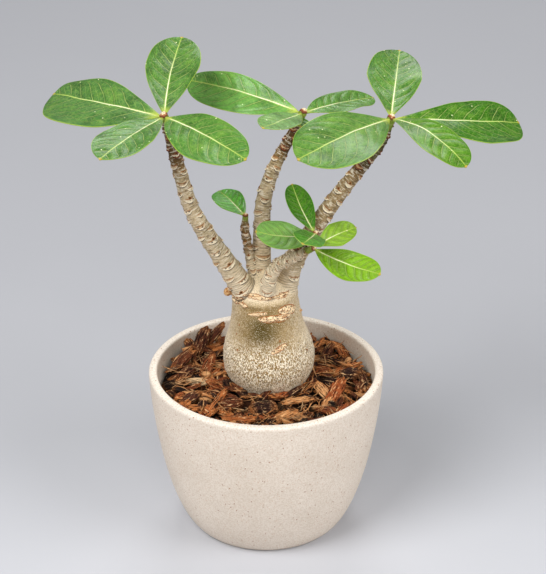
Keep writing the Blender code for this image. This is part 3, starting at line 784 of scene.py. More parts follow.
def fromScar(at, scars):  # index of the nearest scar for each point
    away = wrapped(np.arctan2(at[:, 3], at[:, 2])[:, None] - scars[None, :, 1])
    across = away * np.maximum(at[:, 4], 1)[:, None]
    along = at[:, 1][:, None] - scars[None, :, 0]
    return ((across / scars[None, :, 2]) ** 2 + (along / 1.6) ** 2).argmin(1)


def inScar(at, mark):  # mm across and along from the middle of the scar
    theta = np.arctan2(at[:, 3], at[:, 2])
    return wrapped(theta - mark[:, 1]) * np.maximum(at[:, 4], 1), at[:, 1] - mark[:, 0]


def scarRelief(x, y, half):  # mm that a leaf scar stands out: a lip below, a thin rim and a bud above
    s = x / half
    inside = np.clip(1.15 - s ** 2, 0, 1)
    tall = stemShape["scarHeight"] * np.sqrt(np.clip(1 - s ** 2, 0.02, 1))
    t = (y + 0.55 - stemShape["scarCurve"] * s ** 2) / tall
    rim = 0.75 * np.exp(-((t + 1.1) / 0.5) ** 2) + 0.2 * np.exp(-((t - 1.1) / 0.45) ** 2)
    bud = 0.45 * np.exp(-(x ** 2 + (y - 0.9) ** 2) / 0.5)
    swell = 0.2 * np.exp(-((y + 0.4) / 1.4) ** 2) * np.exp(-(s / 1.3) ** 2)
    return rim * inside + bud + swell - 0.12 * np.exp(-((t + 2.4) / 0.5) ** 2) * inside


def roughness(points, scale, octaves=3):
    return np.array([noise.fractal(Vector(p) / scale, 1.0, 2.0, octaves) for p in points])


def stemGrowth(local, owner, lines, scars):  # relief in mm, and the values that colour the stems
    count = len(owner)
    rise, youth, green, ringed = (np.zeros(count) for _ in range(4))
    for number, (name, stem) in enumerate(stems.items(), 1):
        mine = owner == number
        at = local[name][mine]
        mark = scars[name][fromScar(at, scars[name])]
        x, y = inScar(at, mark)
        rise[mine] += scarRelief(x, y, mark[:, 2]) * np.clip((at[:, 1] - 3) / 4, 0.1, 1)
        fromTip = lines[name]["length"] - at[:, 1]
        dark = np.clip((stem["dark"] - fromTip) / (0.35 * stem["dark"]) + 0.2, 0, 1)
        older = np.maximum(0.26 * at[:, 1] / lines[name]["length"] + stem["tone"], 0)
        youth[mine] = np.clip(older + dark * 0.52, 0, 1)
        green[mine] = np.clip((stem["green"] - fromTip) / 2 + 0.5, 0, 1)
        ringed[mine] = np.clip(1.2 - at[:, 1] / 24, 0, 1)
        rise[mine] += 0.16 * np.sin(at[:, 1] * 2 * math.pi / 1.9) * ringed[mine]
    return rise, {"youth": youth, "green": green, "ringed": ringed}


def caudexGrowth(points, own, depth, owner):
    d = caudexShape
    angle = np.degrees(np.arctan2(own[:, 1], own[:, 0]))
    height = own[:, 2]
    onBody = owner == 0
    near = depth[:, 0] < 2.2
    rough = roughness(points, 2.2)
    fine = roughness(points, 0.9, 2)
    rise, cork, knob, dot = (np.zeros(len(points)) for _ in range(4))
    for at, high, half, thick, slope, lift in d["marks"]:
        off = wrapped(angle - at, 360)
        shape = np.sqrt(np.clip(1 - (off / half) ** 2, 0, 1)) * thick
        away = np.abs(height - high - slope * off + rough * 0.5)
        level = np.clip(1.5 - away / np.maximum(shape, 0.2), 0, 1)
        level *= (np.abs(off) < half) * near
        cork = np.maximum(cork, level)
        rise += lift * level * (1 + rough * 0.6 + fine * 0.5)
    at, high, half, thick = d["hollow"]
    rise -= 0.5 * np.exp(-(wrapped(angle - at, 360) / half) ** 2 - ((height - high) / thick) ** 2) * onBody
    at, high, half, _, slope, _ = d["marks"][3]
    slit = np.exp(-((height - high - slope * wrapped(angle - at, 360)) / 0.5) ** 2)
    rise -= 0.5 * slit * np.clip(1 - (wrapped(angle - at, 360) / half) ** 2, 0, 1) * onBody
    for at, high in d["dots"]:
        mmAcross = np.radians(wrapped(angle - at, 360)) * 22
        spot = np.exp(-(mmAcross ** 2 + (height - high) ** 2) / 0.45) * near
        dot = np.maximum(dot, spot)
        rise += 0.35 * spot
    for *middle, radius, corked in d["knobs"]:
        close = np.clip(1 - (np.linalg.norm(points - np.array(middle), axis=1) - radius) / 0.6, 0, 1)
        if corked:
            knob = np.maximum(knob, close)
        rise += 0.35 * close * rough
    at, high, wide, tall = d["olive"]
    off = np.abs(wrapped(angle - at, 360))
    core = np.exp(-(off / wide) ** 2 - (np.maximum(np.abs(height - high) - 2, 0) / tall) ** 2)
    band = 0.5 * np.clip(1 - np.abs(height - 129) / 13, 0, 1) * np.clip(1.2 - off / 62, 0, 1)
    # darker olive towards the soil: the skin's olive tint together with painted shade where the body curves
    # under into the bark
    bottom = 0.2 * np.clip(1 - (height - 84) / 7, 0, 1)
    olive = np.clip(np.maximum(np.maximum(core, band), bottom) + rough * 0.1, 0, 1)
    # painted light: paler towards the sides as seen from the front, a painted sheen, and low down, a painted
    # fill light; paler also on the crown
    sides = np.clip((off - 38) / 40, 0, 1) * (1.1 - 0.6 * np.clip((height - 114) / 10, 0, 1))
    above, below = (1.2 * np.clip(past, 0, 1) for past in ((height - 138.5) / 4, (99 - height) / 10))
    paleAndLit = np.maximum(np.maximum(sides, above), below)
    frost = np.clip((d["frostTop"] - height + rough * 3) / 12 + 0.3, 0, 1)
    frost *= np.clip((height - 84) / 5, 0.5, 1)
    frost = np.maximum(frost, 0.35 * np.clip((off - 26) / 36, 0, 1))
    rise += roughness(points, 6.0) * d["lumps"] * onBody + fine * 0.07
    return rise, {"cork": cork, "knob": knob, "dot": dot, "olive": olive, "paleAndLit": paleAndLit, "frost": frost}


def cornerPlaces(mesh, own, depth, local, scars):
    # at face corners, as each face is measured from its own stem and its own scar
    loops = meshNumbers(mesh.loops, "vertex_index", 1, np.int64)
    faceOf = np.repeat(np.arange(len(mesh.polygons)), meshNumbers(mesh.polygons, "loop_total", 1, np.int64))
    faceDepth = np.stack([np.bincount(faceOf, depth[loops, k]) for k in range(depth.shape[1])], 1)
    cornerOwner = faceDepth.argmin(1)[faceOf]
    skin = own[loops]
    scar = np.full((len(loops), 3), 9.0)
    for number, name in enumerate(stems, 1):
        corners = np.flatnonzero(cornerOwner == number)
        at = local[name][loops[corners]]
        skin[corners] = np.stack([at[:, 2] + 200 * number, at[:, 3], at[:, 1]], 1)
        faces, first = np.unique(faceOf[corners], return_index=True)
        nearest = fromScar(at[first], scars[name])[np.searchsorted(faces, faceOf[corners])]
        mark = scars[name][nearest]
        x, y = inScar(at, mark)
        scar[corners] = np.stack([x / mark[:, 2], y, mark[:, 3]], 1)
    giveValues(mesh, "CORNER", skin=skin * mm, scar=scar)


def plantMaterial(c, t):  # for the caudex and the stems
    # adenium bark, alive: a thin waxy skin over green tissue, so grey-tan with an olive cast; where a leaf
    # fell or a branch was cut it healed with cork, cream and crumbly with brown pits; wax blooms low down
    material, add = newMaterial("adeniumBark", 1.45, 0.66, 0.2)
    skin = add("Attribute", out=1, attribute_name="skin")
    names = ("youth", "green", "ringed", "branch", "cork", "knob", "dot", "olive", "paleAndLit", "frost", "crease")
    at = {name: add("Attribute", out=2, attribute_name=name) for name in names}
    part = {name: add("Math", at[name], most, **times) for name, most in c["strength"].items()}
    cloud = add("TexNoise", skin, 0.12 / mm, 3, 0.55)
    grain = add("TexNoise", skin, 2.0 / mm, 3, 0.6)
    wrinkle, streak, blooms = (
        add("TexNoise", add("Mapping", skin, None, None, stretch), fine / mm, detail, rough)
        for stretch, fine, detail, rough in (
            ((0.2, 0.2, 1), 1.2, 4, 0.65), ((1, 1, 0.2), 1.3, 3, 0.6), ((1.9, 1.9, 0.85), 1.2, 3, 0.7)))

    # stems: ringed and wrinkled across, streaked with wax
    perMetre = 2 * math.pi / 20 / (t["ringGap"] * mm)
    bands = add("TexWave", skin, perMetre, 3.0, 2, 1.3, bands_direction="Z", out=1)
    rings = add("Math", add("MapRange", bands, 0.4, 0.1, 0, 0.5, **soft), at["ringed"], **times)
    wood = painted(add, add("ValToRGB", at["youth"], stops=t["wood"]),
                   (t["shade"], cloud, 0.5, 0.7, 0, 0.4), (t["wrinkle"], wrinkle, 0.46, 0.39, 0, 0.62),
                   (t["bloom"], wrinkle, 0.54, 0.6, 0, 0.6), (t["bloom"], streak, 0.52, 0.72, 0, 0.3),
                   (t["base"], part["ringed"]), (t["wrinkle"], rings))

    # base: olive skin, freckled white with bloom towards the soil
    dashes = add("TexVoronoi", add("Mapping", skin, None, None, (1.45, 1.45, 0.6)), 1 / (c["fleckGap"] * mm))
    broken = add("Math", dashes, add("MapRange", blooms, 0.35, 0.65, 0.32, -0.32), **plus)
    frost = add("Math", add("MapRange", broken, 0.54, 0.42, 0, 1.0, **soft), at["frost"], **times)
    dots = add("TexVoronoi", skin, 1 / (c["poreGap"] * mm))
    pores = add("Math", add("MapRange", dots, 0.3, 0.18, 0, 0.85, **soft), at["frost"], **times)
    # the light skin colour over the paler mask is painted light: sheen on the sides, fill light low down, and
    # paler on the crown
    body = painted(add, add("ValToRGB", cloud, stops=[(0.3, c["skinDeep"]), (0.7, c["skinPale"])]),
                   (c["bruise"], part["olive"]), (c["skinLight"], part["paleAndLit"]),
                   (c["pore"], grain, 0.5, 0.62, 0, 0.42), (c["bloom"], grain, 0.46, 0.36, 0, 0.4),
                   (c["between"], part["frost"]), (c["bloom"], frost), (c["pore"], pores))
    colour = painted(add, body, (wood, at["branch"], 0.25, 0.75, 0, 1), (t["tip"], part["green"]))

    # leaf scars, drawn in each one's own millimetres: a painted shadow under the lip, lip below, pitted face,
    # thin rim, bud above
    place = add("SeparateXYZ", add("Attribute", out=1, attribute_name="scar")).node.outputs
    wobble = add("MapRange", add("TexNoise", skin, 0.7 / mm, 2, 0.55), 0, 1, -0.4, 0.4)
    s, y = place[0], add("Math", place[1], wobble, **plus)
    square = add("Math", s, s, **times)
    tall = add("Math", add("MapRange", square, 0, 0.98, 1, 0.02), 0.5, operation="POWER")
    curve = add("Math", square, t["scarCurve"], **times)
    high = add("Math", add("Math", y, 0.55, **plus), curve, operation="SUBTRACT")
    rank = add("Math", add("Math", high, tall, operation="DIVIDE"), t["scarHeight"], operation="DIVIDE")
    inWidth = add("MapRange", square, 0.8, 1.1, 1, 0, **soft)
    zones = []
    for low, top, edge, strength in t["scarZones"]:
        up = add("MapRange", rank, low - edge, low + edge, 0, strength, **soft)
        down = add("MapRange", rank, top - edge, top + edge, 1, 0, **soft)
        zones.append(add("Math", add("Math", up, down, **times), inWidth, **times))
    under, lip, face, rim = zones
    young = add("MapRange", at["youth"], 0.45, 0.75, 0, 1, **soft)
    rimColour = painted(add, t["rim"], (t["youngRim"], young))
    lipColour = painted(add, t["lip"], (t["rim"], grain, 0.55, 0.64, 0, 0.7), (t["youngRim"], young))
    cells = add("TexVoronoi", add("Mapping", skin, None, None, (0.7, 0.7, 1)), 1 / (1.1 * mm))
    pit = add("Math", add("MapRange", cells, 0.24, 0.4, 1.4, 0, **soft), face, **times, use_clamp=True)
    budPlace = add("CombineXYZ", add("Math", s, 3.2, **times), add("Math", y, -0.95, **plus))
    budAway = add("VectorMath", budPlace, operation="LENGTH")
    hasBud = add("MapRange", place[2], 0.86, 0.9, 0, 1)
    budRing = add("Math", add("MapRange", budAway, 0.9, 0.55, 0, 1, **soft), hasBud, **times)
    bud = add("Math", add("MapRange", budAway, 0.5, 0.3, 0, 1, **soft), budRing, **times)
    dark = add("Math", pit, bud, operation="MAXIMUM")
    # painted shadow: the band under each lip is drawn in the pit colour
    colour = painted(add, colour, (t["pit"], under), (painted(add, t["face"], (t["lip"], place[2])), face),
                     (rimColour, rim), (lipColour, lip), (rimColour, budRing),
                     (t["pit"], add("Math", dark, 0.9, **times)))

    # cork on the cut marks: pale crumbs with brown holes and an orange edge
    edge = add("Math", at["cork"], add("MapRange", grain, 0, 1, -0.22, 0.22), **plus)
    corky = add("MapRange", edge, 0.4, 0.56, 0, 1, **soft)
    hole = add("TexVoronoi", skin, 1 / (c["holeGap"] * mm))
    hole = add("Math", hole, add("MapRange", blooms, 0.3, 0.7, -0.12, 0.12), **plus)
    hole = add("MapRange", hole, 0.29, 0.4, 1, 0, **soft)
    crumbs = painted(add, c["cork"], (c["corkEdge"], wrinkle, 0.49, 0.6, 0, 0.75),
                     (c["corkPit"], add("Math", hole, 0.85, **times)))
    start, end = (add("MapRange", edge, *steps, **soft) for steps in ((0.14, 0.24, 0, 1), (0.4, 0.5, 1, 0)))
    knobColour = painted(add, c["knob"], (c["knobPale"], grain, 0.42, 0.58, 0, 1))
    # the last layer is painted shade along the fold under the left stem
    colour = painted(add, colour, (c["corkEdge"], add("Math", start, end, **times)), (crumbs, corky),
                     (knobColour, at["knob"]), (c["dot"], at["dot"], 0.2, 0.6, 0, 0.9),
                     (c["crease"], part["crease"]))

    relief = add("Math", wrinkle, 0.6, add("Math", grain, 0.35, **times), **timesPlus)
    corkPits = add("Math", hole, corky, **times)
    for field, height in ((dark, -0.8), (corkPits, -1.2), (frost, 0.4), (rings, -0.6)):
        relief = add("Math", field, height, relief, **timesPlus)
    return surfaced(material, colour, relief, 0.85, 0.4)


def buildPlant():
    rng = random.Random(stemShape["seed"])
    lines = {name: stemLine(stem) for name, stem in stems.items()}
    scars = {name: scarsOf(stems[name], line, rng) for name, line in lines.items()}
    mesh = grownTogether(lines)
    points = meshNumbers(mesh.vertices, "co", 3) / mm
    edges = meshNumbers(mesh.edges, "vertices", 2, np.int64)

    # fillets where the parts meet, but a sharp fold under the left stem
    depth = surveyed(points, lines)[2]
    ordered = np.sort(depth, axis=1)
    gap = ordered[:, 1] - np.minimum(ordered[:, 0], 0.3)
    leftBase = (np.abs(depth[:, 1]) < 2) & (depth.argmin(1) <= 1) & (points[:, 0] < -3)
    weight = np.exp(-(gap / caudexShape["fillet"]) ** 2) * np.where(leftBase, 0.12, 1.0)
    points = smoothed(points, edges, 0.12 + 0.88 * np.clip(weight, 0, 1), 2)
    points = smoothed(points, edges, weight, caudexShape["filletSteps"])

    local, own, depth = surveyed(points, lines)
    owner = depth.argmin(1)
    ordered = np.sort(depth, axis=1)
    meeting = ordered[:, 1] - ordered[:, 0]
    branch = smoothed((owner > 0).astype(float)[:, None], edges, np.ones(len(points)), 6)[:, 0]
    # painted shade: dark along the fold where the left stem meets the crown
    crease = np.exp(-(meeting / 0.55) ** 2) * (depth[:, 1] < 0.8) * (points[:, 0] < -2) * (points[:, 2] > 138)
    mesh.vertices.foreach_set("co", (points * mm).ravel())
    mesh.update()
    stemRise, stemValues = stemGrowth(local, owner, lines, scars)
    bodyRise, bodyValues = caudexGrowth(points, own, depth, owner)
    rise = (stemRise + bodyRise) * np.where(meeting < 0.7, 0.5, 1)
    points = points + meshNumbers(mesh.vertices, "normal", 3) * rise[:, None]
    mesh.vertices.foreach_set("co", (points * mm).ravel())
    cornerPlaces(mesh, own, depth, local, scars)
    giveValues(mesh, branch=branch, crease=crease, **stemValues, **bodyValues)
    mesh.name = "adeniumBody"
    mesh.materials.clear()
    mesh.materials.append(plantMaterial(caudexShape, stemShape))
    mesh.polygons.foreach_set("use_smooth", [True] * len(mesh.polygons))
    plant = newObject("adeniumBody", mesh)
    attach(plant, "root")
    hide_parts("adenium_plant")
    return lines


stemLines = buildPlant()
print("plant done")


# bud scales closed over the growing tip of each stem

budShape = {
    "seed": 3, "scales": 8, "rows": 8, "columns": 5, "length": 1.55, "width": 1.15,       # shares of the tip
    "thickness": 0.3,                                                                     # mm
    "colours": [(0.0, "#6E7A2E"), (0.25, "#5E2C18"), (0.55, "#7C3C20"), (0.78, "#B88050"), (0.95, "#F4E2BE")],
}


def budMaterial(d):
    # bud scale, dry and papery on a living shoot: red-brown where it has died back, cream at the torn edge
    material, add = newMaterial("budScale", 1.45, 0.6, 0.35)
    reach = add("Attribute", out=2, attribute_name="reach")
    place = add("TexCoord", out=3)
    fleck = add("MapRange", add("TexNoise", place, 1.4 / mm, 3, 0.6), 0.3, 0.7, -0.22, 0.22)
    colour = add("ValToRGB", add("Math", reach, fleck, **plus, use_clamp=True), stops=d["colours"])
    return surfaced(material, colour, add("TexNoise", place, 2.2 / mm, 3, 0.6), 0.5, 0.2)


def buildBuds(d):
    parts, reach = [], []
    rng = random.Random(d["seed"])
    for name, line in stemLines.items():
        tip, up = line["middle"][-1], line["tangent"][-1]
        front, side = line["front"][-1], line["side"][-1]
        size = tipRadius[name]
        for number in range(d["scales"]):
            turn = number * divergence + rng.uniform(-0.2, 0.2)
            inner = number / d["scales"]
            out = math.cos(turn) * front + math.sin(turn) * side
            across = np.cross(up, out)
            upper, lower = [], []
            for row in range(d["rows"] + 1):
                t = row / d["rows"]
                wide = size * d["width"] * (1 - 0.35 * inner) * math.sin(math.pi * (0.2 + 0.76 * t)) ** 0.7
                away = size * (0.86 - 0.42 * inner + 0.22 * math.sin(math.pi * t) - 0.5 * t * t)
                rise = size * (0.1 + (d["length"] - 0.25 * inner) * t * (0.75 + 0.25 * inner))
                for k in range(-d["columns"], d["columns"] + 1):
                    v = k / d["columns"]
                    spot = tip + up * rise + out * (away - 0.35 * wide * v * v) + across * wide * v * 0.5
                    thick = d["thickness"] * (1 - 0.6 * abs(v)) * (1 - 0.5 * t)
                    upper.append(spot + out * thick)
                    lower.append(spot)
                    reach.append(t)
            reach += reach[-len(lower):]
            parts.append((np.array(upper + lower), sheetFaces(d["rows"] + 1, 2 * d["columns"] + 1)))
    points, faces = joined(parts)
    buds = meshPiece("budScales", points * mm, faces, budMaterial(d))
    giveValues(buds.data, reach=reach)


buildBuds(budShape)
print("buds done")


# leaves

leafShape = {
    "rows": 78, "columns": 14, "thickness": 0.75, "edge": 0.35, "fold": 8.0, "wave": 0.035,
    "quilt": 0.42, "dimple": 0.8, "channel": 0.22, "rib": 0.5, "tip": 0.45, "reachIn": 1.4,
    "stalkShare": 0.12, "stalkThickness": 0.8,
    "veinLean": 0.8, "veinBend": 0.02, "veinTurn": 0.66, "veinLoop": 3.0,
    "veinShift": 0.46,                                           # of one side against the other, in vein gaps
    "veinWidth": 0.2, "ribWidth": 0.38, "netWidth": 0.11,        # half widths in mm
    "netGap": 2.8, "fleckGap": 3.4, "roughness": (0.34, 0.52),
    "finish": {"Coat Weight": 0.3, "Coat Roughness": 0.22, "Subsurface Weight": 0.1,
               "Subsurface Radius": (0.4, 1.0, 0.15), "Subsurface Scale": 1.2 * mm},
    "vein": "#BFD372", "ribColours": [(0.12, "#E9EBB0"), (0.35, "#F1EFC9"), (0.75, "#C9D77E")],
    "margin": "#9DB340", "fleck": "#E3E9B4", "back": "#9DB56E", "stalk": "#B4C24C", "tipSpot": "#C2A03C",
    # painted light and shade: the last three colours are a sunlit green, a shaded green and a painted sheen
    "sunlit": "#A8CE48", "shaded": "#173A0C", "sheen": "#8FBE58",
}
leaves = {
    # stem, heading, rise, roll, length, width, droop, turn, widest, fullness, lopsided, colour, vein gap (mm)
    "leaf_left_outer": ("left", 158, 5, -23, 74, 36.5, 28, -19, 0.6, 1.8, -0.2, "#487734", 8.4),
    "leaf_left_back": ("left", 90, 18, -2, 62, 29.5, -2, -13, 0.59, 1.35, 0.04, "#4B7C2C", 7.2),
    "leaf_left_near": ("left", 245, 8, -3, 61, 29, 14, -3, 0.59, 1.2, -0.05, "#417B1D", 7.4),
    "leaf_left_inner": ("left", -59, 11, 24, 67, 29, 26, 4, 0.63, 1.85, 0.18, "#4D812D", 8.0),
    "leaf_middle_outer": ("middle", 153, 12, -42, 69, 23.5, 16, 7, 0.62, 1.9, -0.2, "#669F44", 8.0),
    "leaf_middle_near": ("middle", 246, 13, -8, 45.5, 21, 4, -4, 0.55, 1.2, -0.09, "#74A359", 6.0),
    "leaf_middle_young": ("middle", -96, -20, 0, 11, 9, -30, 0, 0.6, 1.8, 0, "#4F8A2C", 3.6),
    "leaf_middle_inner": ("middle", 51, -5, 16, 55.5, 19, 3, -11, 0.56, 1.8, 0.05, "#568F34", 6.6),
    "leaf_right_near": ("right", 235, 11, -20, 73.5, 39, 22, -4, 0.59, 1.35, -0.11, "#568634", 8.8),
    "leaf_right_back": ("right", 83, 13, 8, 62, 30, 0, 0, 0.54, 1.3, -0.08, "#447A22", 7.2),
    "leaf_right_outer": ("right", -9, 4, 18, 72, 33, 40, 37, 0.63, 1.2, 0.11, "#336D07", 8.0),
    "leaf_right_low": ("right", -55, 16, 11, 59.5, 22, 44, -6, 0.7, 1.6, 0.14, "#4D8213", 6.8),
    "leaf_low_top": ("rear_arm", 114, 16, -6, 33.5, 14, -18, -6, 0.66, 2, 0.03, "#397A05", 4.4),
    "leaf_low_left": ("rear_arm", 222, 8, -33, 35, 19.5, 2, -31, 0.61, 1.6, -0.03, "#7AAB54", 5.4),
    "leaf_low_centre": ("rear_arm", 264, 21, -20, 38, 17, 9, -7, 0.66, 1.7, 0, "#419305", 5.0),
    "leaf_low_right": ("front_arm", 33, 18, 36, 25.5, 14, 13, -11, 0.5, 1.2, 0, "#89B12E", 4.4),
    "leaf_low_front": ("front_arm", -48, -2, 33, 46, 17.5, -6, 9, 0.64, 1.95, 0.09, "#7BAC0E", 5.6),
    "leaf_twig": ("twig", 112, 3, -13, 36, 15.5, 8, 5, 0.63, 2.1, -0.06, "#59B231", 4.8),
}


def leafMaterial(d):
    # adenium leaf, alive and watered: waxed skin over green flesh, so satin, with a few patches of painted
    # shade and painted highlight; the veins and the margin hold less green, so they show yellow, and the
    # midrib cream
    material, add = newMaterial("waxyLeaf", 1.46, 0.42, 0.22)
    vein, size, flat, tint = (
        add("Attribute", out=1, attribute_name=name) for name in ("vein", "size", "flat", "tint"))
    phase, v, u = add("SeparateXYZ", vein).node.outputs
    across, gap, under = add("SeparateXYZ", size).node.outputs
    aside, v = (add("Math", field, operation="ABSOLUTE") for field in (across, v))
    cloud = add("TexNoise", flat, 0.085 / mm, 3, 0.55)
    mottle = add("TexNoise", flat, 0.85 / mm, 4, 0.65)
    streaks = add("TexNoise", add("Mapping", flat, None, (0, 0, 0.9), (0.35, 1, 1)), 0.5 / mm, 4, 0.65)
    patchy = add("TexNoise", flat, 0.15 / mm, 2, 0.5)

    # side veins: whole ones, thinner ones half way between, and a faint net
    otherSide = add("Math", across, 0, operation="GREATER_THAN")
    phase = add("Math", otherSide, d["veinShift"], phase, **timesPlus)
    veins = []
    for shift, wide, strength in ((0, 1.0, 0.95), (0.5, 0.7, 0.45)):
        share = add("Math", add("Math", phase, shift, **plus), operation="FRACT")
        away = add("Math", add("Math", share, -0.5, **plus), operation="ABSOLUTE")
        away = add("Math", away, gap, **times)
        wide *= d["veinWidth"]
        veins.append((away, add("MapRange", away, wide * 0.6, wide * 1.9, strength, 0, **soft)))
    (fromVein, whole), (_, thin) = veins
    thin = add("Math", thin, add("MapRange", v, 0.35, 0.7, 1, 0, **soft), **times)
    uneven = add("MapRange", patchy, 0.34, 0.6, 0.4, 1, **soft)
    uneven = add("Math", uneven, add("MapRange", gap, 4.4, 7.5, 0.3, 0.72), **times)    # faint if small
    side = add("Math", add("Math", whole, thin, operation="MAXIMUM"), uneven, **times)
    cells = add("TexVoronoi", flat, 1 / (d["netGap"] * mm), feature="DISTANCE_TO_EDGE")
    net = add("MapRange", cells, 0.0, d["netWidth"], 0.13, 0, **soft)
    fade = add("MapRange", v, 0.82, 0.93, 1, 0, **soft)
    side = add("Math", add("Math", side, net, operation="MAXIMUM"), fade, **times)

    # midrib: its edge is at 1, and it narrows to the tip and in small leaves
    ribHalf = add("MapRange", u, 0, 1, d["ribWidth"], d["ribWidth"] * 0.38)
    ribHalf = add("Math", ribHalf, add("MapRange", gap, 3, 8, 0.62, 1), **times)
    fromRib = add("Math", aside, ribHalf, operation="DIVIDE")
    ribColour = add("ValToRGB", u, stops=[(0.0, d["stalk"]), *d["ribColours"], (1.0, d["margin"])])

    dying = add("MapRange", u, 0.985, 0.998, 0, 0.9, **soft)
    dying = add("Math", dying, add("MapRange", aside, 0.5, 1.3, 1, 0, **soft), **times)
    spots = add("TexVoronoi", flat, 1 / (d["fleckGap"] * mm))
    chosen = add("Math", add("SeparateColor", spots.node.outputs["Color"]), 0.72, operation="GREATER_THAN")
    fleck = add("Math", add("MapRange", spots, 0.07, 0.14, 0.9, 0, **soft), chosen, **times)
    # painted light and shade: shaded, sunlit and sheen copies of the leaf's green, laid in patches and
    # streaks, darker beside the veins and paler beside the midrib
    shaded, sunlit, sheenTint = (painted(add, tint, (d[name], most))
                            for name, most in (("shaded", 0.6), ("sunlit", 0.5), ("sheen", 0.45)))
    colour = painted(add, tint, (shaded, cloud, 0.5, 0.34, 0, 0.8), (sunlit, cloud, 0.52, 0.7, 0, 0.32),
                     (sheenTint, streaks, 0.53, 0.66, 0, 0.38), (shaded, streaks, 0.47, 0.36, 0, 0.38),
                     (sunlit, mottle, 0.53, 0.64, 0, 0.28), (shaded, mottle, 0.46, 0.36, 0, 0.28),
                     (shaded, fromVein, 0.3, 1.6, 0.5, 0),           # darker beside the veins
                     (d["sunlit"], fromRib, 1, 4, 0.32, 0),          # and paler beside the midrib
                     (d["vein"], add("Math", side, 0.9, **times)), (ribColour, fromRib, 0.6, 1.35, 1, 0),
                     (d["stalk"], u, 0.01, 0.1, 0.8, 0), (d["margin"], v, 0.97, 0.99, 0, 0.8),
                     (d["tipSpot"], dying), (d["fleck"], fleck),
                     (d["back"], add("Math", under, 0.5, **times)))
    gloss = add("MapRange", patchy, 0.35, 0.65, *d["roughness"], **soft)
    shader = material.node_tree.nodes["Principled BSDF"].inputs
    material.node_tree.links.new(gloss, shader["Roughness"])
    for name, value in d["finish"].items():
        shader[name].default_value = value
    relief = add("Math", side, -0.9, add("Math", mottle, 0.45, **times), **timesPlus)
    relief = add("Math", streaks, 0.9, relief, **timesPlus)
    return surfaced(material, colour, relief, 0.8, 0.4)


def halfWidth(share, widest, fullness):
    if share < widest:
        return 1 - 0.95 * ((widest - max(share, 0)) / widest) ** fullness
    return math.sqrt(max(0, 1 - ((share - widest) / (1 - widest)) ** 2.1))


def leafFrames(stem, heading, rise, roll, length, droop, turn, shares):
    heading, rise, roll, droop, turn = (math.radians(a) for a in (heading, rise, roll, droop, turn))
    level = Vector((math.cos(heading), math.sin(heading), 0))
    along = level * math.cos(rise) + Vector((0, 0, math.sin(rise)))
    side = along.cross(Vector((0, 0, 1))).normalized()
    up = side.cross(along)
    rolled = Matrix.Rotation(roll, 3, along)
    side, up = rolled @ side, rolled @ up

    def frameAt(share):
        bent = Matrix.Rotation(-droop * share, 3, side)
        twisted = Matrix.Rotation(turn * share, 3, bent @ up)
        return twisted @ (bent @ along), twisted @ side, bent @ up

    point = Vector(stems[stem]["points"][-1][:3]) + along * (tipRadius[stem] + 0.3)
    before, out = 0.0, []
    for share in shares:
        point = point + frameAt((before + share) / 2)[0] * (share - before) * length
        before = share
        out.append((np.array(point), *(np.array(a) for a in frameAt(share)[1:])))
    return out


def veinPlace(along, across, v, width, seed):  # mm up the midrib where the vein through this spot leaves it
    d = leafShape
    aside = abs(across)
    drift = noise.noise(Vector((along * 0.06, seed, 0))) * 2.6
    drift += noise.noise(Vector((along * 0.13, across * 0.13, seed))) * 1.0
    turn = d["veinLoop"] * width * max(0, abs(v) - d["veinTurn"]) ** 2
    return along + drift - d["veinLean"] * aside - d["veinBend"] * aside ** 2 - turn


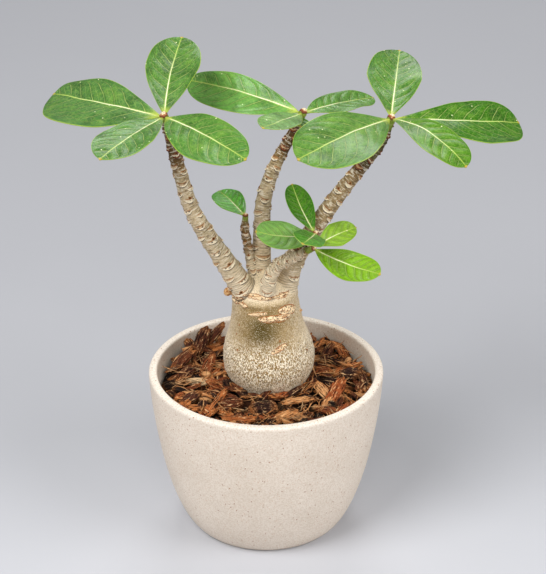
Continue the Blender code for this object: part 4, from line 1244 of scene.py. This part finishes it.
def buildLeaf(name, spec, material):
    d = leafShape
    stem, heading, rise, roll, length, width, droop, turn, widest, fullness, lopsided, tint, veinGap = spec
    count = d["rows"]
    shares = [0.998 * (1 - math.cos(math.pi * k / count)) / 2 for k in range(count + 1)]
    shares = [-d["reachIn"] / length, *shares, 1 + d["tip"] / length]
    frames = leafFrames(stem, heading, rise, roll, length, droop, turn, shares)
    fold = math.radians(d["fold"])
    columns = [math.sin(math.pi / 2 * k / d["columns"]) for k in range(-d["columns"], d["columns"] + 1)]
    seed = random.Random(name).uniform(0, 50)
    top, bottom, vein, size, flat = [], [], [], [], []
    for row, (share, (middle, side, up)) in enumerate(zip(shares, frames)):
        body = halfWidth(min(share, 0.998), widest, fullness) if row <= count + 1 else 0.02
        half = max(body * width / 2, 0.03 * width if row == 0 else 0)
        stalk = max(0.0, 1 - share / d["stalkShare"]) * d["stalkThickness"]
        along = length * share
        for v in columns:
            across = v * half * (1 + lopsided * v)
            aside = abs(across)
            phase = veinPlace(along, across, v, width, seed) / veinGap
            away = abs((phase + (d["veinShift"] if v > 0 else 0)) % 1 - 0.5) * veinGap
            within = min(1, abs(v) * 5) * max(0, min(1, (0.95 - abs(v)) * 5)) * min(1, body * 1.2)
            quilt = -d["quilt"] * math.exp(-(away / (0.16 * veinGap)) ** 2) * within
            wave = d["wave"] * width * v * v * math.sin(9 * share + math.radians(heading) + v) * body
            dimple = noise.noise(Vector((along * 0.07 + seed, across * 0.09, 5))) * d["dimple"] * body
            offset = side * math.cos(fold) * across + up * (math.sin(fold) * aside + wave + quilt + dimple)
            thick = d["edge"] + (d["thickness"] - d["edge"]) * (1 - abs(v) ** 5) + stalk * (1 - v * v)
            groove = d["channel"] * math.exp(-(across / 0.8) ** 2) * (1 - share)
            keel = d["rib"] * math.exp(-(across / 0.75) ** 2) * (1 - 0.8 * max(share, 0))
            top.append(middle + offset + up * (thick / 2 - groove))
            bottom.append(middle + offset - up * (thick / 2 + keel))
            vein.append((phase, v, share))
            size.append((across, veinGap, 0))
            flat.append((along * mm, across * mm, seed * 3 * mm))
    piece = meshPiece(name.replace("leaf_", "blade_"), np.array(top + bottom) * mm,
                      sheetFaces(len(shares), len(columns)), material)
    under = [(x, gap, 1) for x, gap, _ in size]
    green = [toLinear(tint)[:3]] * 2 * len(top)
    giveValues(piece.data, vein=vein * 2, size=size + under, flat=flat * 2, tint=green)
    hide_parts(name)


leafStuff = leafMaterial(leafShape)
for leafName, leafSpec in leaves.items():
    buildLeaf(leafName, leafSpec, leafStuff)
print("leaves done")
